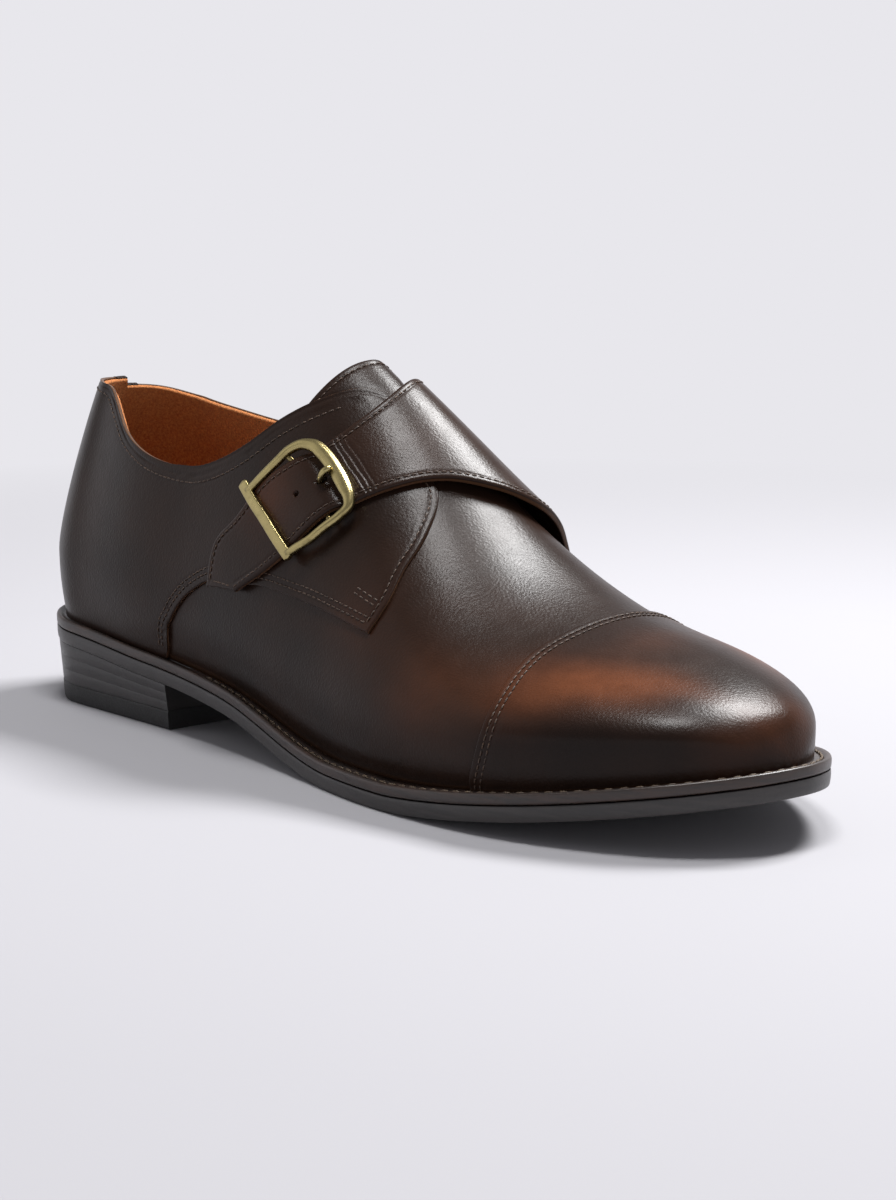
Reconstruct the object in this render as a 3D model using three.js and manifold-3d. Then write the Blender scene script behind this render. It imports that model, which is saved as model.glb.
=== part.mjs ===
// Single monk strap shoe, the right one of a pair, size EU 43.
// Frame: millimetres, +X towards the toe, +Y to the inner (medial) side of the foot, +Z up.
// The origin is on the floor under the middle of the shoe.
import * as THREE from 'three';
import { mergeVertices } from 'three/addons/utils/BufferGeometryUtils.js';
import Module from 'manifold-3d';

// ---- driving dimensions ----
const LAST_LENGTH = 298;      // heel curve to toe tip of the upper
const BALL_WIDTH = 99;        // upper across the ball of the foot
const BACK_HEIGHT = 73;       // collar above the insole seat at the heel
const WALL = 2.2;             // leather and lining of the upper
const WELT_THICK = 3.0;
const SOLE_THICK = 4.5;       // outsole alone
const HEEL_BREAST_X = 81;     // front face of the heel
const LIFT_THICK = 6.0;       // rubber top lift
const INSOLE_THICK = 2.4;     // above the welt
const STRAP_THICK = 2.4;
const TONGUE_THICK = 2.6;
const GAP = 0.3;              // between neighbouring pieces
const EDGE = WELT_THICK + SOLE_THICK;

// Tables are in millimetres of a last 298 long and 99 wide, and follow the driving dimensions.
const SX = LAST_LENGTH / 298;
const SY = BALL_WIDTH / 99;

// Rows of a table, with a name for each column.
function table(columns, rows) {
  return rows.map((row) => Object.fromEntries(columns.map((column, i) => [column, row[i]])));
}

// Height of the sole's upper face along the shoe: heel seat, waist, ball and toe spring.
const SEAT = table(['x', 'z'], [
  [-6, 28.0], [42, 25.2], [62, 23.2], [80, 21.8], [98, 20.0], [120, 17.0], [135, 13.6], [150, 10.2],
  [164, 8.1], [174, EDGE], [200, EDGE], [212, 8.2], [226, 9.6], [245, 12.0], [265, 15.0], [285, 18.4],
  [306, 22.0],
]);

// Sections of the last, heel to toe. outer and inner are the half widths at the feather edge,
// outerWide and innerWide the half widths at the widest line, rise its height above the feather,
// ridgeY and ridgeZ the top of the section, side and crown how full its flank and top are.
const SECTION_COLUMNS = [
  'x', 'outer', 'inner', 'outerWide', 'innerWide', 'rise', 'ridgeY', 'ridgeZ', 'side', 'crown',
];
const SECTIONS = table(SECTION_COLUMNS, [
  [34, 30.2, 31, 30.9, 33, 20.4, 0, 135, 0.15, 0.32],
  [60, 31.6, 30, 34.2, 33, 20.4, 0.5, 133.5, 0.3, 0.48],
  [88, 32.5, 26.5, 35.5, 31.5, 20, 1, 131, 0.32, 0.48],
  [115, 34.5, 24, 38, 31, 20, 2, 125, 0.36, 0.46],
  [140, 37.5, 26, 41, 33, 19, 3.5, 111.3, 0.38, 0.46],
  [165, 41.5, 33, 44.5, 38, 17, 5.5, 92.3, 0.4, 0.48],
  [190, 45.5, 41, 48.5, 45, 15, 7.5, 71.2, 0.42, 0.52],
  [213, 46.5, 46, 49.5, 49.5, 14, 8.5, 56.5, 0.46, 0.52],
  [234, 45, 46.5, 47.5, 49, 13, 8.5, 48.9, 0.5, 0.46],
  [253, 40.5, 42.3, 42.5, 43.8, 12, 8, 45.5, 0.54, 0.45],
  [269, 34, 34.9, 35.5, 36.4, 11, 7, 42.4, 0.55, 0.45],
  [282, 26.5, 26, 27.5, 27, 10, 5.5, 38.8, 0.56, 0.44],
  [291, 17.5, 17.5, 18, 18, 8, 4, 34.8, 0.56, 0.43],
  [296, 9, 10.4, 9, 10.4, 4, 3, 30, 0.55, 0.42],
]);
const TOE_TIP = { x: 298, y: 2.5 };
// The heel curve is a fan of ribs about the first section, from the back seam round to the side.
const HEEL = { featherX: 3.5, backX: 0, rise: 20, fullness: 2.15, angles: [90, 67.5, 45, 22.5] };

// Top edge of the upper: height of the collar and of the quarters' upper edges.
const TOPLINE = {
  outer: table(['x', 'z'], [
    [0, 100.5], [14, 101], [24, 100.6], [33, 98.6], [40, 94], [50, 87], [62, 82], [75, 79.1],
    [89, 78.3], [103, 81.2], [114, 86.4], [125, 94.4], [134, 99.7], [143, 103.2], [150, 101.5],
    [162, 93.5],
  ]),
  inner: table(['x', 'z'], [
    [0, 100.5], [11, 100], [17, 97.2], [28, 94], [45, 91], [61, 88.6], [75, 87.3], [88, 87.5],
    [103, 90.3], [116, 96], [128, 101.5], [140, 104.5], [150, 101.5], [162, 93.5],
  ]),
};
const TOP_LIMIT = 0.955;      // the throat's edges stay this far from the ridge, as a share of the rib
const THROAT_FRONT_X = 168;   // the slit under the strap ends here

// How far the sole's edge stands out from the feather edge.
const MARGIN = table(['x', 'out'], [
  [0, 3.8], [25, 4.2], [60, 3.4], [100, 3.6], [140, 4.6], [180, 5.8], [260, 6.0], [304, 5.5],
]);

// The strap crosses the instep from the inner quarter to a tip on the outer side. Each row gives its
// rear and front edge: x, and w across the last from -1 (outer feather) through 0 (ridge) to 1 (inner
// feather). lift is the height of its underside over the upper.
const STRAP = table(['rearX', 'rearW', 'frontX', 'frontW', 'lift'], [
  [112.5, 0.36, 183, 0.36, 0.4],
  [124, 0.25, 185, 0.25, 0.4],
  [136, 0.14, 186, 0.12, 0.5],
  [145.5, 0.03, 182, 0, 0.6],
  [149.3, -0.08, 175.2, -0.115, 0.7],
  [147.6, -0.19, 168, -0.24, 1.0],
  [142.8, -0.285, 161.3, -0.336, 1.6],
  [135.8, -0.37, 155.8, -0.405, 3.3],
  [127.5, -0.455, 149.5, -0.492, 1.6],
  [119, -0.563, 142.5, -0.575, 0.6],
  [110.4, -0.648, 134.5, -0.65, 0.4],
  [108.7, -0.757, 124, -0.727, 0.4],
]);
// Holes in the strap: the one that the prong comes up through, and a spare one nearer the tip.
const STRAP_HOLES = table(['row', 'size'], [[6.5, 3.6], [7.25, 2.0]]);

// Buckle: rows of the strap at its front, middle and rear bar, and its reach across the strap,
// where 1 is the strap's edge. bar, middleBar and prong are radii.
const BUCKLE = {
  frontRow: 6.0,
  middleRow: 7.05,
  rearRow: 8.55,
  reachFront: 1.22,
  reachRear: 1.5,
  bar: 1.45,
  middleBar: 1.0,
  prong: 1.0,
};

const MATERIALS = {
  burnishedLeather: { color: 0x3a2a22, roughness: 0.38, metalness: 0 },
  strapLeather: { color: 0x3f2d25, roughness: 0.36, metalness: 0 },
  tongueLeather: { color: 0x35261f, roughness: 0.42, metalness: 0 },
  insoleLeather: { color: 0x9a6535, roughness: 0.6, metalness: 0 },
  weltLeather: { color: 0x3a2c22, roughness: 0.5, metalness: 0 },
  soleLeather: { color: 0x35312d, roughness: 0.48, metalness: 0 },
  heelLeather: { color: 0x2a2623, roughness: 0.42, metalness: 0 },
  rubber: { color: 0x1a1918, roughness: 0.72, metalness: 0 },
  antiqueBrass: { color: 0x8a7a44, roughness: 0.3, metalness: 1 },
};

// ---- small maths ----
const lerp = (a, b, f) => a + (b - a) * f;
const clamp = (v, lo, hi) => Math.min(hi, Math.max(lo, v));

// Smooth curve through the rows of a table, read at x.
function readTable(rows, column, x) {
  const last = rows.length - 1;
  const at = clamp(x, rows[0].x, rows[last].x);
  let i = 0;
  while (i < last - 1 && rows[i + 1].x < at) i += 1;
  const step = (n) => (rows[n + 1][column] - rows[n][column]) / (rows[n + 1].x - rows[n].x);
  const slope = (n) => {
    if (n === 0) return step(0);
    if (n === last) return step(last - 1);
    const before = rows[n].x - rows[n - 1].x;
    const after = rows[n + 1].x - rows[n].x;
    if (step(n - 1) * step(n) <= 0) return 0;
    return (step(n - 1) * after + step(n) * before) / (before + after);
  };
  const h = rows[i + 1].x - rows[i].x;
  const t = (at - rows[i].x) / h;
  return (2 * t ** 3 - 3 * t ** 2 + 1) * rows[i][column] + (t ** 3 - 2 * t ** 2 + t) * h * slope(i)
    + (3 * t ** 2 - 2 * t ** 3) * rows[i + 1][column] + (t ** 3 - t ** 2) * h * slope(i + 1);
}
const seatZ = (x) => readTable(SEAT, 'z', x / SX);

// Cubic spline through values at 0, 1, 2 ... whose ends are flat or free.
function spline(values, startFlat, endFlat) {
  const n = values.length;
  const lower = new Array(n).fill(1);
  const middle = new Array(n).fill(4);
  const upper = new Array(n).fill(1);
  const right = values.map((v, i) => (i > 0 && i < n - 1 ? 6 * (values[i + 1] - 2 * v + values[i - 1]) : 0));
  middle[0] = startFlat ? 2 : 1;
  upper[0] = startFlat ? 1 : 0;
  right[0] = startFlat ? 6 * (values[1] - values[0]) : 0;
  middle[n - 1] = endFlat ? 2 : 1;
  lower[n - 1] = endFlat ? 1 : 0;
  right[n - 1] = endFlat ? 6 * (values[n - 2] - values[n - 1]) : 0;
  for (let i = 1; i < n; i += 1) {
    const f = lower[i] / middle[i - 1];
    middle[i] -= f * upper[i - 1];
    right[i] -= f * right[i - 1];
  }
  const bend = new Array(n).fill(0);
  bend[n - 1] = right[n - 1] / middle[n - 1];
  for (let i = n - 2; i >= 0; i -= 1) bend[i] = (right[i] - upper[i] * bend[i + 1]) / middle[i];
  return (k) => {
    const i = clamp(Math.floor(k), 0, n - 2);
    const f = k - i;
    const g = 1 - f;
    return g * values[i] + f * values[i + 1] + ((g ** 3 - g) * bend[i] + (f ** 3 - f) * bend[i + 1]) / 6;
  };
}

// ---- the last: a surface over k (station, heel to toe) and t (0 at the feather, 1 at the ridge) ----
const RIB_STEPS = 40;

// One rib in its own plane, from the feather over the widest line to the ridge, evenly spaced.
function rib({ featherR, featherZ, wideR, wideZ, ridgeR, ridgeZ, side, crown }) {
  const rise = wideZ - featherZ;
  const low = new THREE.CubicBezierCurve(
    new THREE.Vector2(featherR, featherZ),
    new THREE.Vector2(lerp(featherR, wideR, 0.35), featherZ + 0.3 * rise),
    new THREE.Vector2(wideR, wideZ - 0.55 * rise),
    new THREE.Vector2(wideR, wideZ),
  );
  const high = new THREE.CubicBezierCurve(
    new THREE.Vector2(wideR, wideZ),
    new THREE.Vector2(wideR, lerp(wideZ, ridgeZ, side)),
    new THREE.Vector2(lerp(ridgeR, wideR, crown), ridgeZ),
    new THREE.Vector2(ridgeR, ridgeZ),
  );
  const path = new THREE.CurvePath();
  path.add(low);
  path.add(high);
  path.arcLengthDivisions = 240;
  return Array.from({ length: RIB_STEPS + 1 }, (_, j) => path.getPointAt(j / RIB_STEPS));
}

function heelRib(angle, sign, featherKey, wideKey) {
  const first = SECTIONS[0];
  const c = Math.cos(THREE.MathUtils.degToRad(angle));
  const s = Math.sin(THREE.MathUtils.degToRad(angle));
  const power = HEEL.fullness;
  const reach = (across, back) => ((c / across) ** power + (s / back) ** power) ** (-1 / power);
  const featherR = reach(first[featherKey], first.x - HEEL.featherX);
  const wideR = reach(first[wideKey], first.x - HEEL.backX);
  const featherZ = readTable(SEAT, 'z', first.x - featherR * s);
  const points = rib({
    featherR,
    featherZ,
    wideR,
    wideZ: featherZ + lerp(first.rise, HEEL.rise, s),
    ridgeR: 0,
    ridgeZ: first.ridgeZ,
    side: first.side,
    crown: first.crown,
  });
  return points.map((p) => new THREE.Vector3(first.x - p.x * s, sign * p.x * c, p.y));
}

function sectionRib(row, sign, featherKey, wideKey) {
  const featherZ = readTable(SEAT, 'z', row.x);
  const points = rib({
    featherR: row[featherKey],
    featherZ,
    wideR: row[wideKey],
    wideZ: featherZ + row.rise,
    ridgeR: sign * row.ridgeY,
    ridgeZ: row.ridgeZ,
    side: row.side,
    crown: row.crown,
  });
  return points.map((p) => new THREE.Vector3(row.x, sign * p.x, p.y));
}

function sideOfLast(sign, featherKey, wideKey) {
  const ribs = HEEL.angles.map((angle) => heelRib(angle, sign, featherKey, wideKey));
  SECTIONS.forEach((row) => ribs.push(sectionRib(row, sign, featherKey, wideKey)));
  const tip = new THREE.Vector3(TOE_TIP.x, TOE_TIP.y, readTable(SEAT, 'z', TOE_TIP.x));
  ribs.push(Array.from({ length: RIB_STEPS + 1 }, () => tip.clone()));
  return Array.from({ length: RIB_STEPS + 1 }, (_, j) => ({
    x: spline(ribs.map((r) => r[j].x), true, true),
    y: spline(ribs.map((r) => r[j].y), false, false),
    z: spline(ribs.map((r) => r[j].z), true, false),
  }));
}
const LAST = { outer: sideOfLast(-1, 'outer', 'outerWide'), inner: sideOfLast(1, 'inner', 'innerWide') };
const K_FIRST = HEEL.angles.length;                 // the first full section
const K_TOE = HEEL.angles.length + SECTIONS.length; // the toe tip

function lastPoint(side, k, t) {
  const f = clamp(t, 0, 1) * RIB_STEPS;
  const j = Math.min(Math.floor(f), RIB_STEPS - 1);
  const a = LAST[side][j];
  const b = LAST[side][j + 1];
  const g = f - j;
  return new THREE.Vector3(
    SX * lerp(a.x(k), b.x(k), g),
    SY * lerp(a.y(k), b.y(k), g),
    lerp(a.z(k), b.z(k), g),
  );
}

function lastNormal(side, k, t) {
  if (k > K_TOE - 1e-6) return new THREE.Vector3(1, 0, 0);
  const dk = 0.02;
  const dt = 0.02;
  const along = lastPoint(side, Math.min(k + dk, K_TOE), t).sub(lastPoint(side, Math.max(k - dk, 0), t));
  const up = lastPoint(side, k, Math.min(t + dt, 1)).sub(lastPoint(side, k, Math.max(t - dt, 0)));
  if (k < 1e-6) along.set(0, side === 'outer' ? -1 : 1, 0);
  if (t > 1 - 1e-6) up.set(0, side === 'outer' ? 1 : -1, 0);
  const normal = along.cross(up).normalize();
  return side === 'outer' ? normal : normal.negate();
}
const offsetPoint = (side, k, t, out) => lastPoint(side, k, t).addScaledVector(lastNormal(side, k, t), out);

// Station at a given x, in front of the heel curve.
function stationAt(x) {
  let low = K_FIRST;
  let high = K_TOE;
  for (let n = 0; n < 40; n += 1) {
    const mid = (low + high) / 2;
    if (SX * LAST.outer[0].x(mid) < x) low = mid;
    else high = mid;
  }
  return (low + high) / 2;
}

// Height along the rib at which it reaches z.
function tAtHeight(side, k, z) {
  let low = 0;
  let high = 1;
  for (let n = 0; n < 30; n += 1) {
    const mid = (low + high) / 2;
    if (lastPoint(side, k, mid).z < z) low = mid;
    else high = mid;
  }
  return (low + high) / 2;
}

// Point over the last from x and w, see STRAP.
function overLast(x, w, out) {
  const side = w < 0 ? 'outer' : 'inner';
  return offsetPoint(side, stationAt(x), 1 - Math.abs(w), out);
}

// ---- closed meshes ----
class Body {
  constructor() {
    this.positions = [];
    this.indices = [];
  }

  add(point) {
    this.positions.push(point.x, point.y, point.z);
    return this.positions.length / 3 - 1;
  }

  quad(a, b, c, d) {
    this.indices.push(a, b, c, a, c, d);
  }

  triangle(a, b, c) {
    this.indices.push(a, b, c);
  }

  // Merges coincident points and drops triangles that have collapsed.
  geometry() {
    const loose = new THREE.BufferGeometry();
    loose.setAttribute('position', new THREE.Float32BufferAttribute(this.positions, 3));
    loose.setIndex(this.indices);
    const merged = mergeVertices(loose, 1e-3);
    const index = merged.index.array;
    const kept = [];
    for (let i = 0; i < index.length; i += 3) {
      const [a, b, c] = [index[i], index[i + 1], index[i + 2]];
      if (a !== b && b !== c && c !== a) kept.push(a, b, c);
    }
    merged.setIndex(kept);
    merged.computeVertexNormals();
    return merged;
  }
}

// Rows of points that each form a closed loop, joined row to row and closed at both ends.
function tubeBody(loops, closed) {
  const body = new Body();
  const rows = loops.map((loop) => loop.map((p) => body.add(p)));
  const count = rows[0].length;
  const pairs = closed ? rows.length : rows.length - 1;
  for (let i = 0; i < pairs; i += 1) {
    const here = rows[i];
    const next = rows[(i + 1) % rows.length];
    for (let j = 0; j < count; j += 1) {
      const m = (j + 1) % count;
      body.quad(here[j], next[j], next[m], here[m]);
    }
  }
  if (!closed) {
    const first = rows[0];
    const end = rows[rows.length - 1];
    for (let j = 1; j < count - 1; j += 1) {
      body.triangle(first[0], first[j], first[j + 1]);
      body.triangle(end[0], end[j + 1], end[j]);
    }
  }
  return body.geometry();
}

// ---- stations round the shoe ----
const RIBS_PER_STATION = 3;
function stationList() {
  const list = [];
  for (let k = 0; k < K_TOE - 1; k += 1 / RIBS_PER_STATION) list.push(k);
  [0, 0.35, 0.65, 0.85].forEach((f) => list.push(K_TOE - 1 + f));
  list.push(K_TOE);
  return list;
}
const STATIONS = stationList();

function topT(side, k) {
  const x = lastPoint(side, k, 0.5).x;
  if (k >= K_FIRST && x >= THROAT_FRONT_X) return 1;
  const wanted = readTable(TOPLINE[side], 'z', lastPoint(side, k, 0.7).x / SX) + (BACK_HEIGHT - 73);
  return Math.min(tAtHeight(side, k, wanted), TOP_LIMIT);
}

// Feather edge in plan, moved outwards.
function featherOut(side, k, out) {
  const dk = 0.02;
  const p = lastPoint(side, k, 0);
  let along = lastPoint(side, Math.min(k + dk, K_TOE), 0).sub(lastPoint(side, Math.max(k - dk, 0), 0));
  if (k < 1e-6) along = new THREE.Vector3(0, side === 'outer' ? -1 : 1, 0);
  if (k > K_TOE - 1e-6) along = new THREE.Vector3(0, side === 'outer' ? 1 : -1, 0);
  const normal = new THREE.Vector3(along.y, -along.x, 0).normalize();
  if (side === 'inner') normal.negate();
  return p.addScaledVector(normal, out);
}
function soleEdge(side, k, inset) {
  const x = lastPoint(side, k, 0).x;
  return featherOut(side, k, readTable(MARGIN, 'out', x / SX) - inset);
}

// A plate between two outlines, given as edge(side, k), between two heights. clipX cuts it square in front.
function plate(edgeTop, edgeBottom, top, bottom, clipX = Infinity) {
  const body = new Body();
  const rows = [];
  const height = (p, z) => new THREE.Vector3(p.x, p.y, z(p.x));
  STATIONS.forEach((k) => {
    rows.push(['outer', 'inner'].map((side) => {
      const a = edgeTop(side, k);
      const b = edgeBottom(side, k);
      a.x = Math.min(a.x, clipX);
      b.x = Math.min(b.x, clipX);
      return [body.add(height(a, top)), body.add(height(b, bottom))];
    }));
  });
  const behindClip = (i) => i === 0 || lastPoint('outer', STATIONS[i - 1], 0).x < clipX;
  const usable = rows.filter((_, i) => behindClip(i));
  for (let i = 0; i + 1 < usable.length; i += 1) {
    const [outer, inner] = usable[i];
    const [outerNext, innerNext] = usable[i + 1];
    body.quad(outer[0], outerNext[0], innerNext[0], inner[0]);
    body.quad(outer[1], inner[1], innerNext[1], outerNext[1]);
    body.quad(outer[1], outerNext[1], outerNext[0], outer[0]);
    body.quad(inner[0], innerNext[0], innerNext[1], inner[1]);
  }
  const [outerEnd, innerEnd] = usable[usable.length - 1];
  body.quad(outerEnd[1], innerEnd[1], innerEnd[0], outerEnd[0]);
  return body.geometry();
}

// ---- pieces of the bottom ----
const soleTopZ = (x) => seatZ(x) - WELT_THICK - GAP / 2;
const soleBottomZ = (x) => seatZ(x) - EDGE;
const weltBottomZ = (x) => seatZ(x) - WELT_THICK + GAP / 2;

function outsoleGeometry() {
  const taper = 0.6;
  const inset = 0.2;
  return plate(
    (side, k) => soleEdge(side, k, inset),
    (side, k) => soleEdge(side, k, inset + taper),
    soleTopZ,
    soleBottomZ,
  );
}

function heelBlockGeometry() {
  const inset = 0.6;
  const taper = 1.2;
  return plate(
    (side, k) => soleEdge(side, k, inset),
    (side, k) => soleEdge(side, k, inset + taper),
    (x) => soleBottomZ(x) - GAP,
    () => LIFT_THICK + GAP / 2,
    HEEL_BREAST_X * SX,
  );
}

function topLiftGeometry() {
  const inset = 1.7;
  const taper = 0.5;
  return plate(
    (side, k) => soleEdge(side, k, inset),
    (side, k) => soleEdge(side, k, inset + taper),
    () => LIFT_THICK - GAP / 2,
    () => 0,
    HEEL_BREAST_X * SX,
  );
}

// The lower edge of the upper's inside face, in plan.
const INNER_FEATHER = -(WALL + 0.4);

// Stations all the way round: down the outer side to the toe, and back along the inner side.
const AROUND = [
  ...STATIONS.map((k) => ['outer', k]),
  ...[...STATIONS].reverse().slice(1, -1).map((k) => ['inner', k]),
];

function weltGeometry() {
  const loops = AROUND.map(([side, k]) => {
    const out = soleEdge(side, k, 0);
    const inside = featherOut(side, k, INNER_FEATHER);
    return [
      new THREE.Vector3(out.x, out.y, seatZ(out.x)),
      new THREE.Vector3(inside.x, inside.y, seatZ(inside.x)),
      new THREE.Vector3(inside.x, inside.y, weltBottomZ(inside.x)),
      new THREE.Vector3(out.x, out.y, weltBottomZ(out.x)),
    ];
  });
  return tubeBody(loops, true);
}

function insoleGeometry() {
  const edge = (side, k) => featherOut(side, k, INNER_FEATHER - 0.6);
  return plate(edge, edge, (x) => seatZ(x) + INSOLE_THICK, (x) => soleTopZ(x) + GAP);
}

// ---- the upper ----
const UPPER_ROWS = 16;
const FEATHER_GAP = GAP;

function upperGeometry() {
  const body = new Body();
  const skin = (out) => AROUND.map(([side, k]) => {
    const top = topT(side, k);
    return Array.from({ length: UPPER_ROWS + 1 }, (_, j) => {
      const p = offsetPoint(side, k, (top * j) / UPPER_ROWS, out);
      if (j === 0) p.z = seatZ(p.x);
      p.z += j === 0 ? FEATHER_GAP : 0;
      return body.add(p);
    });
  });
  const outside = skin(0);
  const inside = skin(-WALL);
  const open = AROUND.map(([side, k]) => topT(side, k) < 1);
  AROUND.forEach((_, i) => {
    const n = (i + 1) % AROUND.length;
    for (let j = 0; j < UPPER_ROWS; j += 1) {
      body.quad(outside[i][j], outside[n][j], outside[n][j + 1], outside[i][j + 1]);
      body.quad(inside[i][j], inside[i][j + 1], inside[n][j + 1], inside[n][j]);
    }
    body.quad(outside[i][0], inside[i][0], inside[n][0], outside[n][0]);
    if (open[i] || open[n]) {
      const j = UPPER_ROWS;
      body.quad(outside[i][j], outside[n][j], inside[n][j], inside[i][j]);
    }
  });
  return body.geometry();
}

// ---- the tongue, under the throat ----
const TONGUE = table(['x', 'half'], [
  [134.6, 0.25], [135.6, 0.28], [138, 0.295], [145, 0.29], [158, 0.26], [172, 0.21], [188, 0.15],
]);
const TONGUE_SWEEP = 31;      // its edges lie this far behind its middle, for a unit of w
const TONGUE_STATIONS = 14;

function tongueGeometry() {
  const steps = 12;
  const top = -(WALL + 2.5 * GAP);
  const loops = Array.from({ length: TONGUE_STATIONS + 1 }, (_, i) => {
    const x = lerp(TONGUE[0].x, TONGUE[TONGUE.length - 1].x, (i / TONGUE_STATIONS) ** 1.4);
    const half = readTable(TONGUE, 'half', x);
    const ws = Array.from({ length: steps + 1 }, (_, j) => lerp(-half, half, j / steps));
    const back = (w) => (x - TONGUE_SWEEP * Math.abs(w)) * SX;
    const upper = ws.map((w) => overLast(back(w), w, top));
    const lower = ws.map((w) => overLast(back(w), w, top - TONGUE_THICK)).reverse();
    return [...upper, ...lower];
  });
  return tubeBody(loops, false);
}

// ---- the strap and its buckle, in the strap's own coordinates ----
// row runs along STRAP, v across it from -1 (rear edge) to 1 (front edge), h is the height over the upper.
function strapColumn(name, row) {
  const i = clamp(Math.floor(row), 0, STRAP.length - 2);
  const f = row - i;
  const at = (n) => STRAP[clamp(n, 0, STRAP.length - 1)][name];
  const [p0, p1, p2, p3] = [at(i - 1), at(i), at(i + 1), at(i + 2)];
  const square = 2 * p0 - 5 * p1 + 4 * p2 - p3;
  const cube = 3 * p1 - p0 - 3 * p2 + p3;
  return p1 + 0.5 * ((p2 - p0) * f + square * f ** 2 + cube * f ** 3);
}
function strapPoint(row, v, h) {
  const f = (v + 1) / 2;
  const x = lerp(strapColumn('rearX', row), strapColumn('frontX', row), f);
  const w = lerp(strapColumn('rearW', row), strapColumn('frontW', row), f);
  return overLast(x * SX, w, h);
}
const strapUnder = (row) => strapColumn('lift', row);

function strapGeometry() {
  const across = 6;
  const loops = [];
  for (let row = 0; row <= STRAP.length - 1 + 1e-6; row += 0.5) {
    const vs = Array.from({ length: across + 1 }, (_, j) => lerp(-1, 1, j / across));
    const upper = vs.map((v) => strapPoint(row, v, strapUnder(row) + STRAP_THICK));
    const lower = vs.map((v) => strapPoint(row, v, strapUnder(row))).reverse();
    loops.push([...upper, ...lower]);
  }
  return tubeBody(loops, false);
}

// The way out of the last at the buckle, the same for all of its bars.
const BUCKLE_OUT = strapPoint(BUCKLE.middleRow, 0, 1).sub(strapPoint(BUCKLE.middleRow, 0, 0)).normalize();

// Round bar along a list of points; closed joins its ends.
function barGeometry(points, radius, sides, closed) {
  const count = points.length;
  const loops = points.map((p, i) => {
    const before = closed ? points[(i + count - 1) % count] : points[Math.max(i - 1, 0)];
    const after = closed ? points[(i + 1) % count] : points[Math.min(i + 1, count - 1)];
    const along = after.clone().sub(before).normalize();
    const acrossBar = new THREE.Vector3().crossVectors(along, BUCKLE_OUT).normalize();
    const up = new THREE.Vector3().crossVectors(acrossBar, along);
    return Array.from({ length: sides }, (_, j) => {
      const a = (2 * Math.PI * j) / sides;
      const side = acrossBar.clone().multiplyScalar(radius * Math.cos(a));
      return p.clone().add(side).addScaledVector(up, radius * Math.sin(a));
    });
  });
  return tubeBody(loops, closed);
}

// Heights of the bars: the front and rear bars lie over the strap, the side bars dip to the middle bar.
const frontBarH = strapUnder(BUCKLE.frontRow) + STRAP_THICK + 5 * GAP + BUCKLE.bar;
const rearBarH = strapUnder(BUCKLE.rearRow) + STRAP_THICK + GAP + BUCKLE.bar;
const middleBarH = strapUnder(BUCKLE.middleRow) - GAP - BUCKLE.middleBar - 0.4;
const DIP_AT = 0.42;          // share of the way from the front bar to the rear bar
const SIDE_BAR_STEPS = [0.12, 0.28, DIP_AT, 0.56, 0.72, 0.88];

function buckleFramePoints() {
  const corner = 0.3;
  const points = [];
  const bar = (row, reach, height, from, to) => {
    for (let n = 0; n <= 6; n += 1) points.push(strapPoint(row, lerp(from, to, n / 6) * reach, height));
  };
  const sidePoint = (v, f) => {
    const row = lerp(BUCKLE.frontRow, BUCKLE.rearRow, f);
    const reach = lerp(BUCKLE.reachFront, BUCKLE.reachRear, f) + 0.1 * Math.sin(Math.PI * f);
    const out = clamp(4.8 * (f - DIP_AT) ** 2, 0, 1);
    return strapPoint(row, v * reach, lerp(middleBarH + 0.9, lerp(frontBarH, rearBarH, f), out));
  };
  bar(BUCKLE.frontRow, BUCKLE.reachFront, frontBarH, -1 + corner, 1 - corner);
  SIDE_BAR_STEPS.forEach((f) => points.push(sidePoint(1, f)));
  bar(BUCKLE.rearRow, BUCKLE.reachRear, rearBarH, 1 - corner, -1 + corner);
  [...SIDE_BAR_STEPS].reverse().forEach((f) => points.push(sidePoint(-1, f)));
  return points;
}

function middleBarPoints() {
  const reach = lerp(BUCKLE.reachFront, BUCKLE.reachRear, DIP_AT) + 0.08;
  return [-1, -0.75, -0.4, 0, 0.4, 0.75, 1].map((v) => {
    const rise = Math.abs(v) > 0.9 ? 0.7 : 0;
    return strapPoint(BUCKLE.middleRow, v * reach, middleBarH + rise);
  });
}

// The prong comes up through its hole in the strap, and its tip lies on the front bar.
function prongPoints() {
  const hole = STRAP_HOLES[0].row;
  const under = strapUnder(hole);
  const onBar = frontBarH + BUCKLE.bar + GAP + BUCKLE.prong;
  return [
    strapPoint(hole, 0, under - 0.2),
    strapPoint(hole, 0, under + 0.75 * STRAP_THICK),
    strapPoint(hole - 0.06, 0, under + STRAP_THICK + 1.2),
    strapPoint(lerp(hole, BUCKLE.frontRow, 0.5), 0, onBar - 0.5),
    strapPoint(BUCKLE.frontRow + 0.1, 0, onBar),
    strapPoint(BUCKLE.frontRow - 0.1, 0, onBar - 0.1),
  ];
}

// ---- booleans ----
const wasm = await Module();
wasm.setup();
function toSolid(geometry) {
  const triVerts = new Uint32Array(geometry.index.array);
  const vertProperties = new Float32Array(geometry.attributes.position.array);
  return new wasm.Manifold(new wasm.Mesh({ numProp: 3, vertProperties, triVerts }));
}
function toGeometry(solid) {
  const { vertProperties, triVerts } = solid.getMesh();
  const geometry = new THREE.BufferGeometry();
  geometry.setAttribute('position', new THREE.BufferAttribute(new Float32Array(vertProperties), 3));
  geometry.setIndex(new THREE.BufferAttribute(new Uint32Array(triVerts), 1));
  geometry.computeVertexNormals();
  return geometry;
}

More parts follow.
